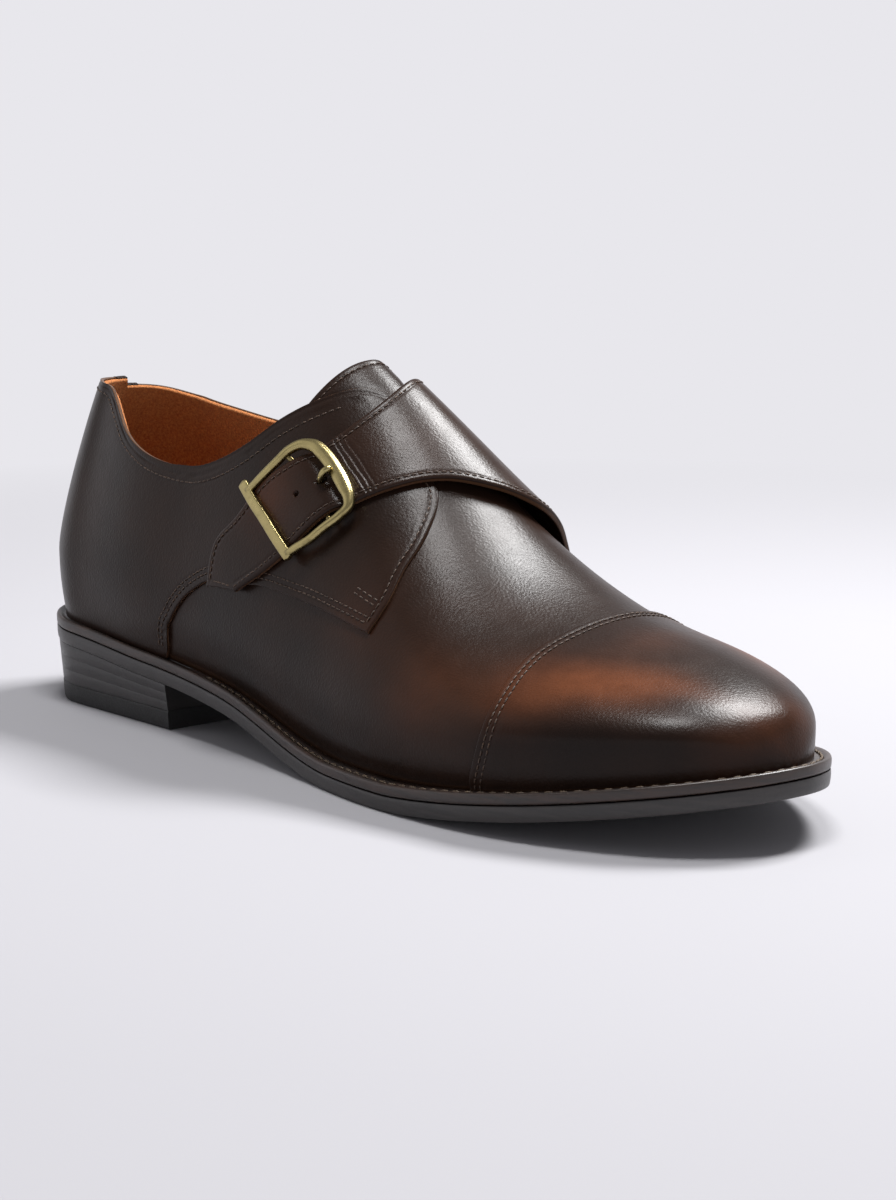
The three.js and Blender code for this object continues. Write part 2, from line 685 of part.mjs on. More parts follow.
function strapWithHoles() {
  let solid = toSolid(strapGeometry());
  STRAP_HOLES.forEach(({ row, size }) => {
    const centre = strapPoint(row, 0, 0);
    const round = new THREE.CylinderGeometry(size / 2, size / 2, 30, 12);
    const drill = mergeVertices(round.deleteAttribute('normal').deleteAttribute('uv'));
    drill.applyQuaternion(new THREE.Quaternion().setFromUnitVectors(new THREE.Vector3(0, 1, 0), BUCKLE_OUT));
    drill.translate(centre.x, centre.y, centre.z);
    solid = solid.subtract(toSolid(drill));
  });
  return toGeometry(solid);
}

function buckleGeometry() {
  const frame = toSolid(barGeometry(buckleFramePoints(), BUCKLE.bar, 8, true));
  const middle = toSolid(barGeometry(middleBarPoints(), BUCKLE.middleBar, 8, false));
  return toGeometry(frame.add(middle));
}

// ---- assembly ----
function addPiece(group, name, geometry, material) {
  const mesh = new THREE.Mesh(geometry, new THREE.MeshStandardMaterial(MATERIALS[material]));
  mesh.name = name;
  group.add(mesh);
}

const shoe = new THREE.Group();
addPiece(shoe, 'top_lift', topLiftGeometry(), 'rubber');
addPiece(shoe, 'heel_block', heelBlockGeometry(), 'heelLeather');
addPiece(shoe, 'outsole', outsoleGeometry(), 'soleLeather');
addPiece(shoe, 'welt', weltGeometry(), 'weltLeather');
addPiece(shoe, 'insole', insoleGeometry(), 'insoleLeather');
addPiece(shoe, 'upper', upperGeometry(), 'burnishedLeather');
addPiece(shoe, 'tongue', tongueGeometry(), 'tongueLeather');
addPiece(shoe, 'strap', strapWithHoles(), 'strapLeather');
addPiece(shoe, 'buckle_frame', buckleGeometry(), 'antiqueBrass');
addPiece(shoe, 'buckle_prong', barGeometry(prongPoints(), BUCKLE.prong, 8, false), 'antiqueBrass');

// Centre the shoe over the origin.
const bounds = new THREE.Box3().setFromObject(shoe);
shoe.position.set(-(bounds.min.x + bounds.max.x) / 2, -(bounds.min.y + bounds.max.y) / 2, -bounds.min.z);

const model = new THREE.Group();
model.add(shoe);
export default model;
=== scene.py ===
"""Looks of the single monk strap shoe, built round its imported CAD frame.

Shapes are worked out in millimetres in the last's own frame, as in the CAD: x runs from the heel
curve to the toe, y to the inner side of the foot and z up from the floor. A place on the last is
(k, w): k is the station, heel to toe, and w runs across from -1, the outer feather edge, over the
ridge at 0, to 1, the inner feather edge. make_object() moves a finished mesh into the row frame.
"""

import math

import bpy
import numpy as np
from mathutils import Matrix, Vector


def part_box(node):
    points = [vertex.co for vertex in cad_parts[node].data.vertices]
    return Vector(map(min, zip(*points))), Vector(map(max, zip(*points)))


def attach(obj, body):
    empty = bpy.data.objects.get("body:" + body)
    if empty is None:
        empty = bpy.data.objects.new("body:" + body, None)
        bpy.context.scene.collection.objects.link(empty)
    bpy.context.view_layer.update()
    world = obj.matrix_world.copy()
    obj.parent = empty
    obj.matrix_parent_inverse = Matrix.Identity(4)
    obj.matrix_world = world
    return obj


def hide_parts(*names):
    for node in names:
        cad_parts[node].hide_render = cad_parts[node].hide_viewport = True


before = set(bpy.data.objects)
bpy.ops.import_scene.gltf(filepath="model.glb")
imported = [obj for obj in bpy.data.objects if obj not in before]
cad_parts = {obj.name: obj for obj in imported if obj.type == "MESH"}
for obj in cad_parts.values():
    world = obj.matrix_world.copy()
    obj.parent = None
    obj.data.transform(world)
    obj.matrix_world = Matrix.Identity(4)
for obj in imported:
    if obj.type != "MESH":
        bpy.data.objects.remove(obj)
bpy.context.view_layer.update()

# ---- sizes, the same as the CAD's ----
SOLE_EDGE = 7.5
WELT_THICK = 3.0
LIFT_THICK = 6.0
HEEL_BREAST_X = 81.0
INSOLE_THICK = 2.4

# Height of the sole's upper face along the shoe: x, z.
SEAT = (
    (-6, 28.0), (42, 25.2), (62, 23.2), (80, 21.8), (98, 20.0), (120, 17.0), (135, 13.6), (150, 10.2),
    (164, 8.1), (174, SOLE_EDGE), (200, SOLE_EDGE), (212, 8.2), (226, 9.6), (245, 12.0), (265, 15.0),
    (285, 18.4), (306, 22.0),
)
# Sections of the last: x; half widths at the feather edge, outer and inner; half widths at the widest
# line, outer and inner; its height above the feather; y and z of the ridge; fullness of side and crown.
SECTIONS = (
    (34, 30.2, 31, 30.9, 33, 20.4, 0, 135, 0.15, 0.32),
    (60, 31.6, 30, 34.2, 33, 20.4, 0.5, 133.5, 0.3, 0.48),
    (88, 32.5, 26.5, 35.5, 31.5, 20, 1, 131, 0.32, 0.48),
    (115, 34.5, 24, 38, 31, 20, 2, 125, 0.36, 0.46),
    (140, 37.5, 26, 41, 33, 19, 3.5, 111.3, 0.38, 0.46),
    (165, 41.5, 33, 44.5, 38, 17, 5.5, 92.3, 0.4, 0.48),
    (190, 45.5, 41, 48.5, 45, 15, 7.5, 71.2, 0.42, 0.52),
    (213, 46.5, 46, 49.5, 49.5, 14, 8.5, 56.5, 0.46, 0.52),
    (234, 45, 46.5, 47.5, 49, 13, 8.5, 48.9, 0.5, 0.46),
    (253, 40.5, 42.3, 42.5, 43.8, 12, 8, 45.5, 0.54, 0.45),
    (269, 34, 34.9, 35.5, 36.4, 11, 7, 42.4, 0.55, 0.45),
    (282, 26.5, 26, 27.5, 27, 10, 5.5, 38.8, 0.56, 0.44),
    (291, 17.5, 17.5, 18, 18, 8, 4, 34.8, 0.56, 0.43),
    (296, 9, 10.4, 9, 10.4, 4, 3, 30, 0.55, 0.42),
)
TOE_TIP = (298.0, 2.5)
HEEL_FEATHER_X = 3.5
HEEL_FULLNESS = 2.15
HEEL_ANGLES = (90, 67.5, 45, 22.5)
# Top edge of the upper: x, z. Near the heel the inner side is up to 1.2 mm over the CAD's.
TOPLINE = {
    -1: (
        (0, 100.5), (14, 101), (24, 100.6), (33, 98.6), (40, 94), (50, 87), (62, 82), (75, 79.1),
        (89, 78.3), (103, 81.2), (114, 86.4), (125, 94.4), (134, 99.7), (143, 103.2), (150, 101.5),
        (162, 93.5),
    ),
    1: (
        (0, 100.5), (11, 100), (17, 98.4), (28, 94.6), (45, 91), (61, 88.6), (75, 87.3), (88, 87.5),
        (103, 90.3), (116, 96), (128, 101.5), (140, 104.5), (150, 101.5), (162, 93.5),
    ),
}
TOP_LIMIT = 0.955
# Where the two quarters' top edges come closest.
THROAT_X = 150.0
# How far the sole's edge stands out from the feather edge: x, out.
MARGIN = ((0, 3.8), (25, 4.2), (60, 3.4), (100, 3.6), (140, 4.6), (180, 5.8), (260, 6.0), (304, 5.5))

# Heights over the last of the leather layers.
LAYER = 1.15
LINING = 1.5


# ---- small maths ----
def lerp(a, b, f):
    return a + (b - a) * f


def step_up(a, b, x):
    """0 below a, 1 above b and smooth between them."""
    t = np.clip((x - a) / (b - a), 0, 1)
    return t * t * (3 - 2 * t)


def unit(v):
    return v / np.maximum(np.linalg.norm(v, axis=-1, keepdims=True), 1e-12)


def through(rows, x):
    """Smooth curve through (x, value) rows, read at x."""
    rows = np.asarray(rows, float)
    xs, ys = rows[:, 0], rows[:, 1]
    x = np.clip(x, xs[0], xs[-1])
    h = np.diff(xs)
    step = np.diff(ys) / h
    slope = np.concatenate(([step[0]], np.zeros(len(xs) - 2), [step[-1]]))
    inner = (step[:-1] * h[1:] + step[1:] * h[:-1]) / (h[:-1] + h[1:])
    slope[1:-1] = np.where(step[:-1] * step[1:] <= 0, 0, inner)
    i = np.clip(np.searchsorted(xs, x, side="right") - 1, 0, len(xs) - 2)
    t = (x - xs[i]) / h[i]
    return (
        (2 * t**3 - 3 * t**2 + 1) * ys[i]
        + (t**3 - 2 * t**2 + t) * h[i] * slope[i]
        + (3 * t**2 - 2 * t**3) * ys[i + 1]
        + (t**3 - t**2) * h[i] * slope[i + 1]
    )


def seat_z(x):
    return through(SEAT, x)


def run_length(points):
    """Distance along a line of points, from its start."""
    steps = np.linalg.norm(np.diff(points, axis=0), axis=1)
    return np.concatenate(([0], np.cumsum(steps)))


def read_line(s, values, at):
    """Values along a line, read straight between its points."""
    return np.column_stack([np.interp(at, s, column) for column in values.T])


# ---- the last ----
RIB = 60
FIRST_K = len(HEEL_ANGLES)
TOE_K = FIRST_K + len(SECTIONS)


def bezier(a, b, c, d):
    """Points along a cubic curve with four control points."""
    u = np.linspace(0, 1, 200)[:, None]
    a, b, c, d = (np.asarray(p, float) for p in (a, b, c, d))
    return (1 - u) ** 3 * a + 3 * (1 - u) ** 2 * u * b + 3 * (1 - u) * u**2 * c + u**3 * d


def rib(feather, wide, ridge, side, crown):
    """Evenly spaced points of one rib in its own plane, from the feather edge to the ridge."""
    rise = wide[1] - feather[1]
    low = bezier(
        feather,
        (lerp(feather[0], wide[0], 0.35), feather[1] + 0.3 * rise),
        (wide[0], wide[1] - 0.55 * rise),
        wide,
    )
    high = bezier(
        wide,
        (wide[0], lerp(wide[1], ridge[1], side)),
        (lerp(ridge[0], wide[0], crown), ridge[1]),
        ridge,
    )
    path = np.vstack((low, high[1:]))
    s = run_length(path)
    even = np.linspace(0, s[-1], RIB + 1)
    return np.column_stack((np.interp(even, s, path[:, 0]), np.interp(even, s, path[:, 1])))


def half_ribs(sign):
    """Ribs of one side of the last, heel to toe; sign is -1 for the outer side and 1 for the inner."""
    ribs = []
    first = SECTIONS[0]
    feather_y, wide_y = (first[1], first[3]) if sign < 0 else (first[2], first[4])
    for angle in HEEL_ANGLES:
        c, s = math.cos(math.radians(angle)), math.sin(math.radians(angle))
        reach = [
            ((c / across) ** HEEL_FULLNESS + (s / back) ** HEEL_FULLNESS) ** (-1 / HEEL_FULLNESS)
            for across, back in ((feather_y, first[0] - HEEL_FEATHER_X), (wide_y, first[0]))
        ]
        low = seat_z(first[0] - reach[0] * s)
        flat = rib((reach[0], low), (reach[1], low + first[5]), (0, first[7]), first[8], first[9])
        ribs.append(np.column_stack((first[0] - flat[:, 0] * s, sign * flat[:, 0] * c, flat[:, 1])))
    for x, out, inn, out_wide, in_wide, rise, ridge_y, ridge_z, side, crown in SECTIONS:
        feather_y, wide_y = (out, out_wide) if sign < 0 else (inn, in_wide)
        low = seat_z(x)
        flat = rib((feather_y, low), (wide_y, low + rise), (sign * ridge_y, ridge_z), side, crown)
        ribs.append(np.column_stack((np.full(RIB + 1, float(x)), sign * flat[:, 0], flat[:, 1])))
    tip = (*TOE_TIP, seat_z(TOE_TIP[0]))
    ribs.append(np.tile(tip, (RIB + 1, 1)))
    return np.array(ribs)


def spline_bends(values, start_flat, end_flat):
    """Second derivatives of a cubic spline through values at 0, 1, 2 ..."""
    n = len(values)
    matrix = np.diag(np.full(n, 4.0)) + np.diag(np.ones(n - 1), 1) + np.diag(np.ones(n - 1), -1)
    right = np.zeros_like(values)
    right[1:-1] = 6 * (values[2:] - 2 * values[1:-1] + values[:-2])
    matrix[0, :2] = (2, 1) if start_flat else (1, 0)
    matrix[-1, -2:] = (1, 2) if end_flat else (0, 1)
    if start_flat:
        right[0] = 6 * (values[1] - values[0])
    if end_flat:
        right[-1] = 6 * (values[-2] - values[-1])
    return np.linalg.solve(matrix, right)


RIBS = np.concatenate((half_ribs(-1), half_ribs(1)[:, -2::-1]), axis=1)
BENDS = np.stack(
    (
        spline_bends(RIBS[:, :, 0], True, True),
        spline_bends(RIBS[:, :, 1], False, False),
        spline_bends(RIBS[:, :, 2], True, False),
    ),
    axis=2,
)


def last_point(k, w):
    """Points of the last. A negative station is on the other side of the back seam."""
    k, w = np.broadcast_arrays(np.asarray(k, float), np.asarray(w, float))
    w = np.where(k < 0, -w, w)
    k = np.clip(np.abs(k), 0, TOE_K)
    i = np.minimum(k.astype(int), TOE_K - 1)
    f = (k - i)[..., None]
    g = 1 - f
    r = (np.clip(w, -1, 1) + 1) * RIB
    j = np.minimum(r.astype(int), 2 * RIB - 1)
    u = r - j
    weights = (
        (-(u**3) + 2 * u**2 - u) / 2,
        (3 * u**3 - 5 * u**2 + 2) / 2,
        (-3 * u**3 + 4 * u**2 + u) / 2,
        (u**3 - u**2) / 2,
    )
    total = 0
    for n, weight in enumerate(weights):
        row = np.clip(j + n - 1, 0, 2 * RIB)
        straight = g * RIBS[i, row] + f * RIBS[i + 1, row]
        bent = ((g**3 - g) * BENDS[i, row] + (f**3 - f) * BENDS[i + 1, row]) / 6
        total = total + weight[..., None] * (straight + bent)
    return total


def slopes(k, w):
    """How a point of the last moves for a unit of k and of w."""
    dk, dw = 0.02, 0.012
    k = np.minimum(k, TOE_K - 2 * dk)
    w = np.clip(w, -1 + dw, 1 - dw)
    along = (last_point(k + dk, w) - last_point(k - dk, w)) / (2 * dk)
    across = (last_point(k, w + dw) - last_point(k, w - dw)) / (2 * dw)
    return along, across


def last_normal(k, w):
    along, across = slopes(k, w)
    return unit(np.cross(along, across))


def on_last(k, w, height):
    """Points at a height over the last."""
    height = np.asarray(height, float)[..., None]
    return last_point(k, w) + last_normal(k, w) * height


K_LIST = np.linspace(FIRST_K, TOE_K, 1401)
K_LIST_X = last_point(K_LIST, -1.0)[:, 0]


def k_at(x):
    """Station at a given x, in front of the heel curve."""
    return np.interp(x, K_LIST_X, K_LIST)


def moved(k, w, move):
    """Moves places on the last by small steps that lie in its surface."""
    a, b = slopes(k, w)
    aa, ab, bb = (a * a).sum(-1), (a * b).sum(-1), (b * b).sum(-1)
    am, bm = (a * move).sum(-1), (b * move).sum(-1)
    det = aa * bb - ab * ab
    return k + (am * bb - bm * ab) / det, w + (bm * aa - am * ab) / det


def places(points):
    """The places (k, w) on the last nearest to points in its frame."""
    points = np.asarray(points, float)
    ks, ws = np.meshgrid(np.linspace(0, TOE_K - 0.1, 300), np.linspace(-1, 1, 161), indexing="ij")
    ks, ws = ks.ravel(), ws.ravel()
    near = last_point(ks, ws)
    best = [int(((near - p) ** 2).sum(1).argmin()) for p in points]
    k, w = ks[best], ws[best]
    for _ in range(6):
        k, w = moved(k, w, points - last_point(k, w))
        w = np.clip(w, -1, 1)
    return k, w


def read_places(s, line, at):
    """Places along a line (k, w), read straight between its own."""
    return np.interp(at, s, line[0]), np.interp(at, s, line[1])


def sideways(k, w, distance):
    """Moves a line on the last sideways; a positive distance is to its left, seen from outside."""
    steps = max(1, int(math.ceil(abs(distance))))
    for _ in range(steps):
        along = unit(np.gradient(last_point(k, w), axis=0))
        left = np.cross(last_normal(k, w), along)
        k, w = moved(k, w, left * distance / steps)
    return k, w


def even_line(k, w, step):
    """A line on the last, respaced evenly."""
    s = run_length(last_point(k, w))
    return read_places(s, (k, w), np.linspace(0, s[-1], max(2, int(round(s[-1] / step)) + 1)))


def curve(k, w, count=160):
    """A smooth line on the last through a few places."""
    s = run_length(last_point(k, w))
    at = np.linspace(0, s[-1], count)
    return through(np.column_stack((s, k)), at), through(np.column_stack((s, w)), at)


def top_w(side, k):
    """Place across the last of the upper's top edge, at stations k of one side."""
    k = np.asarray(k, float)
    wanted = through(TOPLINE[side], last_point(k, side * 0.3)[..., 0])
    low, high = np.zeros_like(k), np.ones_like(k)
    for _ in range(24):
        mid = (low + high) / 2
        under = last_point(k, side * (1 - mid))[..., 2] < wanted
        low, high = np.where(under, mid, low), np.where(under, high, mid)
    return side * (1 - np.minimum(low, TOP_LIMIT))


# ---- meshes ----
WELT_LOW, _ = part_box("welt")
ROW_SHIFT = np.array([0.0, 0.0, 0.0])


def make_object(name, points, faces, material, smooth=True, **values):
    """A mesh object from points in the last's frame; values are numbers for each point, by name."""
    mesh = bpy.data.meshes.new(name)
    row = (np.asarray(points, float).reshape(-1, 3) + ROW_SHIFT) / 1000
    mesh.from_pydata(row.tolist(), [], faces)
    mesh.polygons.foreach_set("use_smooth", [smooth] * len(mesh.polygons))
    for key, value in values.items():
        attribute = mesh.attributes.new(key, "FLOAT", "POINT")
        attribute.data.foreach_set("value", np.broadcast_to(value, len(row)).astype(np.float32).ravel())
    mesh.materials.append(material)
    mesh.update()
    made = bpy.data.objects.new(name, mesh)
    bpy.context.scene.collection.objects.link(made)
    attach(made, "root")
    return made


def grid_quads(rows, columns, start=0):
    i, j = np.meshgrid(np.arange(rows - 1), np.arange(columns - 1), indexing="ij")
    a = (start + i * columns + j).ravel()
    return np.column_stack((a, a + columns, a + columns + 1, a + 1))


def welded(points, quads):
    """Joins points that coincide, and turns quads that have collapsed into triangles."""
    keys = np.round(points, 3)
    _, first, inverse = np.unique(keys, axis=0, return_index=True, return_inverse=True)
    quads = inverse.ravel()[quads]
    faces = []
    for quad in quads.tolist():
        face = [v for n, v in enumerate(quad) if v != quad[n - 1]]
        if len(set(face)) == len(face) >= 3:
            faces.append(face)
    return first, faces


def border(faces):
    """The edges that only one face has, each in that face's direction."""
    count = {}
    for face in faces:
        for n, v in enumerate(face):
            edge = (face[n - 1], v)
            key = (min(edge), max(edge))
            count[key] = None if key in count else edge
    return [edge for edge in count.values() if edge]


def closed(faces, count):
    """Faces of a closed skin: the faces, the same over the points from count on, and its edges."""
    open_edges = border(faces)
    under = [[v + count for v in reversed(face)] for face in faces]
    walls = [(a + count, b + count, b, a) for a, b in open_edges]
    return list(faces) + under + walls, [a for a, _ in open_edges]


def distance_to(points, line):
    """Distance of each point from a line of points."""
    points = points.reshape(-1, 3)
    a, ab = line[:-1], np.diff(line, axis=0)
    length = np.maximum((ab**2).sum(1), 1e-12)
    found = np.empty(len(points))
    for n in range(0, len(points), 2000):
        ap = points[n : n + 2000, None] - a[None]
        t = np.clip((ap * ab).sum(2) / length, 0, 1)
        found[n : n + 2000] = np.sqrt(((ap - t[..., None] * ab) ** 2).sum(2).min(1))
    return found


EDGE_STEPS = (0, 0.07, 0.18, 0.34, 0.55, 0.9, 1.35, 1.8, 2.2, 2.6, 3.1, 3.8)


def spacing(length, count, start, end):
    """Places along a length, close together at an open edge and then evenly spaced."""
    first = EDGE_STEPS if start else (0,)
    last = EDGE_STEPS if end else (0,)
    middle = np.linspace(first[-1], length - last[-1], count)
    return np.concatenate((first[:-1], middle, [length - d for d in reversed(last[:-1])]))


def respace(k, w, step, start, end):
    """Spaces the points of each row of a grid on the last by distance."""
    p = last_point(k, w)
    s = np.concatenate(
        (np.zeros((len(k), 1)), np.cumsum(np.linalg.norm(np.diff(p, axis=1), axis=2), axis=1)), axis=1
    )
    count = max(3, int(s[:, -1].mean() / step))
    at = [spacing(line[-1], count, start, end) for line in s]
    new_k = np.array([np.interp(a, line, row) for a, line, row in zip(at, s, k)])
    new_w = np.array([np.interp(a, line, row) for a, line, row in zip(at, s, w)])
    return new_k, new_w


def coons(low, high, left, right):
    """A grid of places inside four lines; low and high run along it, left and right across."""
    v = np.linspace(0, 1, len(left[0]))[:, None]
    u = np.linspace(0, 1, len(low[0]))[None, :]
    grids = []
    for n in (0, 1):
        b, t, a, c = low[n][None, :], high[n][None, :], left[n][:, None], right[n][:, None]
        corners = (
            (1 - u) * (1 - v) * b[0, 0] + u * (1 - v) * b[0, -1] + (1 - u) * v * t[0, 0] + u * v * t[0, -1]
        )
        grids.append((1 - v) * b + v * t + (1 - u) * a + u * c - corners)
    return grids[0].T, grids[1].T


def rounding(d, radius):
    """How far a rounded edge drops below the surface, at a distance from the edge."""
    left = np.clip(radius - d, 0, radius)
    return radius - np.sqrt(radius**2 - left**2)


def stitch_groove(d, at, depth=0.16, width=0.4):
    return depth * np.exp(-(((d - at) / width) ** 2))


def leather_shell(name, patches, material, tone=None):
    """A closed panel from patches, each (k, w, top, bottom) grids; patches join where they meet."""
    tops, bottoms, quads, ks, ws = [], [], [], [], []
    start = 0
    for k, w, top, bottom in patches:
        grid = grid_quads(*k.shape, start)
        p, n = last_point(k, w), last_normal(k, w)
        upper = p + n * top[..., None]
        one = (k.shape[0] // 2, k.shape[1] // 2)
        along = upper[one[0] + 1, one[1]] - upper[one]
        across = upper[one[0], one[1] + 1] - upper[one]
        if np.dot(np.cross(along, across), n[one]) < 0:
            grid = grid[:, ::-1]
        tops.append(upper.reshape(-1, 3))
        bottoms.append((p + n * bottom[..., None]).reshape(-1, 3))
        ks.append(k.ravel())
        ws.append(w.ravel())
        quads.append(grid)
        start += k.size
    tops, bottoms = np.vstack(tops), np.vstack(bottoms)
    ks, ws = np.concatenate(ks), np.concatenate(ws)
    first, faces = welded(tops, np.vstack(quads))
    tops, bottoms, ks, ws = tops[first], bottoms[first], ks[first], ws[first]
    count = len(tops)
    faces, on_edge = closed(faces, count)
    rim = np.zeros(count)
    rim[on_edge] = 1
    glow, burn = tones(ks, ws) if tone is None else tone(ks, ws)
    return make_object(
        name,
        np.vstack((tops, bottoms)),
        faces,
        material,
        glow=np.tile(glow, 2),
        burn=np.tile(burn, 2),
        rim=np.tile(rim, 2),
    )


def tube(sections, closed):
    """Faces of a skin over loops of points with equal counts."""
    rows, count = len(sections), len(sections[0])
    faces = []
    for i in range(rows if closed else rows - 1):
        a, b = i * count, ((i + 1) % rows) * count
        for j in range(count):
            m = (j + 1) % count
            faces.append((a + j, b + j, b + m, a + m))
    if not closed:
        faces.append(tuple(range(count)))
        faces.append(tuple(reversed(range((rows - 1) * count, rows * count))))
    return faces


# Where the burnished leather glows chestnut, and where it is darkest: x, w, spread in x and w, amount.
GLOWS = (
    (255, -0.52, 20, 0.13, 0.8), (273, -0.4, 15, 0.13, 0.8), (262, 0.42, 24, 0.16, 0.8),
    (242, -0.66, 12, 0.12, 0.45), (212, -0.7, 15, 0.14, 0.3), (214, 0.66, 15, 0.16, 0.4),
    (180, -0.6, 14, 0.12, 0.15), (250, -0.1, 10, 0.2, 0.2), (293, 0.0, 6, 0.9, 0.3),
)
BURNS = (
    (283, -0.5, 12, 0.16, 0.9), (283, 0.45, 12, 0.18, 0.9), (262, -0.8, 24, 0.1, 0.7),
    (262, 0.72, 24, 0.12, 0.6), (288, 0.0, 10, 0.3, 0.35), (240, 0.0, 5, 2.0, 0.2),
    (6, -0.8, 14, 0.2, 0.3), (6, 0.8, 14, 0.2, 0.3),
)


def tones(k, w):
    """How much the leather glows and how dark it is burnished, at places on the last."""
    x = last_point(k, w)[..., 0]
    sums = []
    for rows in (GLOWS, BURNS):
        total = np.zeros_like(x)
        for at_x, at_w, spread_x, spread_w, amount in rows:
            total += amount * np.exp(-(((x - at_x) / spread_x) ** 2) - ((w - at_w) / spread_w) ** 2)
        sums.append(np.clip(total, 0, 1))
    return sums


# ---- materials ----
class Nodes:
    """A small helper that adds nodes to one material and links them."""

    def __init__(self, name):
        self.material = bpy.data.materials.new(name)
        self.material.use_nodes = True
        self.tree = self.material.node_tree
        self.shader = self.tree.nodes["Principled BSDF"]
        self.place = self.add("ShaderNodeTexCoord").outputs["Object"]

    def add(self, kind, **settings):
        node = self.tree.nodes.new(kind)
        for key, value in settings.items():
            setattr(node, key, value)
        return node

    def link(self, source, target):
        if isinstance(source, (int, float, tuple)):
            target.default_value = source
        else:
            self.tree.links.new(source, target)

    def set(self, **values):
        for key, value in values.items():
            self.link(value, self.shader.inputs[key.replace("_", " ")])

    def noise(self, scale, detail=3.0, rough=0.5):
        node = self.add("ShaderNodeTexNoise")
        self.link(self.place, node.inputs["Vector"])
        for key, value in (("Scale", scale), ("Detail", detail), ("Roughness", rough)):
            node.inputs[key].default_value = value
        return node.outputs["Fac"]

    def cells(self, scale):
        node = self.add("ShaderNodeTexVoronoi", feature="SMOOTH_F1")
        self.link(self.place, node.inputs["Vector"])
        node.inputs["Scale"].default_value = scale
        return node.outputs["Distance"]

    def value(self, name):
        return self.add("ShaderNodeAttribute", attribute_name=name).outputs["Fac"]

    def maths(self, operation, a, b=0.0, clamp=False):
        node = self.add("ShaderNodeMath", operation=operation, use_clamp=clamp)
        self.link(a, node.inputs[0])
        self.link(b, node.inputs[1])
        return node.outputs[0]

    def span(self, source, low, high, out_low=0.0, out_high=1.0):
        node = self.add("ShaderNodeMapRange")
        for n, value in enumerate((source, low, high, out_low, out_high)):
            self.link(value, node.inputs[n])
        return node.outputs[0]

    def mix(self, factor, a, b, blend="MIX"):
        node = self.add("ShaderNodeMix", data_type="RGBA", blend_type=blend)
        self.link(factor, node.inputs[0])
        self.link(a, node.inputs[6])
        self.link(b, node.inputs[7])
        return node.outputs[2]

    def bump(self, height, strength, distance):
        node = self.add("ShaderNodeBump")
        self.link(height, node.inputs["Height"])
        node.inputs["Strength"].default_value = strength
        node.inputs["Distance"].default_value = distance
        return node.outputs["Normal"]


def rgb(r, g, b):
    """A screen colour, 0 to 255, as the shader wants it."""
    shares = np.array((r, g, b)) / 255
    linear = np.where(shares <= 0.04045, shares / 12.92, ((shares + 0.055) / 1.055) ** 2.4)
    return (*linear.tolist(), 1.0)


CUT_EDGE = rgb(88, 62, 44)


def burnished_leather(name, base, glow, dark, rough=0.33):
    n = Nodes(name)
    clouds = n.noise(45, 4)
    streaks = n.noise(160, 4, 0.6)
    tone = n.mix(n.span(clouds, 0.3, 0.7, 0.0, 0.7), base, dark)
    glowing = n.maths("MULTIPLY", n.value("glow"), n.span(streaks, 0.25, 0.75, 0.75, 1.1))
    tone = n.mix(n.maths("MULTIPLY", glowing, 1.0, True), tone, glow)
    tone = n.mix(n.maths("MULTIPLY", n.value("burn"), 0.85, True), tone, rgb(10, 8, 8))
    tone = n.mix(n.maths("MULTIPLY", n.value("rim"), 0.75), tone, CUT_EDGE)
    grain = n.cells(1500)
    pores = n.noise(2600, 2, 0.6)
    creases = n.noise(620, 3, 0.6)
    height = n.maths("ADD", n.maths("MULTIPLY", grain, 0.6), n.maths("MULTIPLY", pores, 0.25))
    height = n.maths("ADD", height, n.maths("MULTIPLY", creases, 0.6))
    n.set(
        Base_Color=tone,
        Roughness=n.span(streaks, 0.2, 0.8, rough - 0.04, rough + 0.05),
        Coat_Weight=0.04,
        Coat_Roughness=0.2,
        Normal=n.bump(height, 0.32, 0.00025),
    )
    n.shader.inputs["Specular IOR Level"].default_value = 0.13
    return n.material


def lining_leather():
    n = Nodes("lining_leather")
    grip = n.value("grip")
    fibres = n.noise(1400, 4, 0.75)
    clouds = n.noise(70, 3)
    smooth = n.mix(clouds, rgb(162, 98, 44), rgb(132, 74, 30))
    suede = n.mix(n.span(fibres, 0.35, 0.65), rgb(134, 76, 34), rgb(178, 112, 58))
    height = n.maths("MULTIPLY", fibres, n.span(grip, 0.0, 1.0, 0.12, 1.0))
    n.set(
        Base_Color=n.mix(grip, smooth, suede),
        Roughness=n.span(grip, 0.0, 1.0, 0.45, 0.95),
        Normal=n.bump(height, 0.5, 0.0005),
    )
    return n.material


def plain_leather(name, base, dark, rough, grain_scale=900, strength=0.25):
    n = Nodes(name)
    clouds = n.noise(120, 4, 0.6)
    grain = n.noise(grain_scale, 3, 0.6)
    n.set(
        Base_Color=n.mix(n.span(clouds, 0.3, 0.7), base, dark),
        Roughness=n.span(grain, 0.3, 0.7, rough - 0.06, rough + 0.08),
        Normal=n.bump(grain, strength, 0.0003),
    )
    return n.material


def edge_leather(name, base, dark, rough):
    """A trimmed and waxed edge, with faint layers along it."""
    n = Nodes(name)
    stretched = n.add("ShaderNodeMapping")
    n.link(n.place, stretched.inputs["Vector"])
    stretched.inputs["Scale"].default_value = (0.12, 0.12, 1.0)
    layers = n.add("ShaderNodeTexNoise")
    n.link(stretched.outputs[0], layers.inputs["Vector"])
    layers.inputs["Scale"].default_value = 900
    layers.inputs["Detail"].default_value = 3
    fine = n.noise(1300, 3, 0.6)
    height = n.maths("ADD", layers.outputs["Fac"], n.maths("MULTIPLY", fine, 0.4))
    n.set(
        Base_Color=n.mix(n.span(layers.outputs["Fac"], 0.35, 0.65), base, dark),
        Roughness=n.span(fine, 0.3, 0.7, rough - 0.05, rough + 0.07),
        Coat_Weight=0.2,
        Coat_Roughness=0.3,
        Normal=n.bump(height, 0.2, 0.0003),
    )
    return n.material


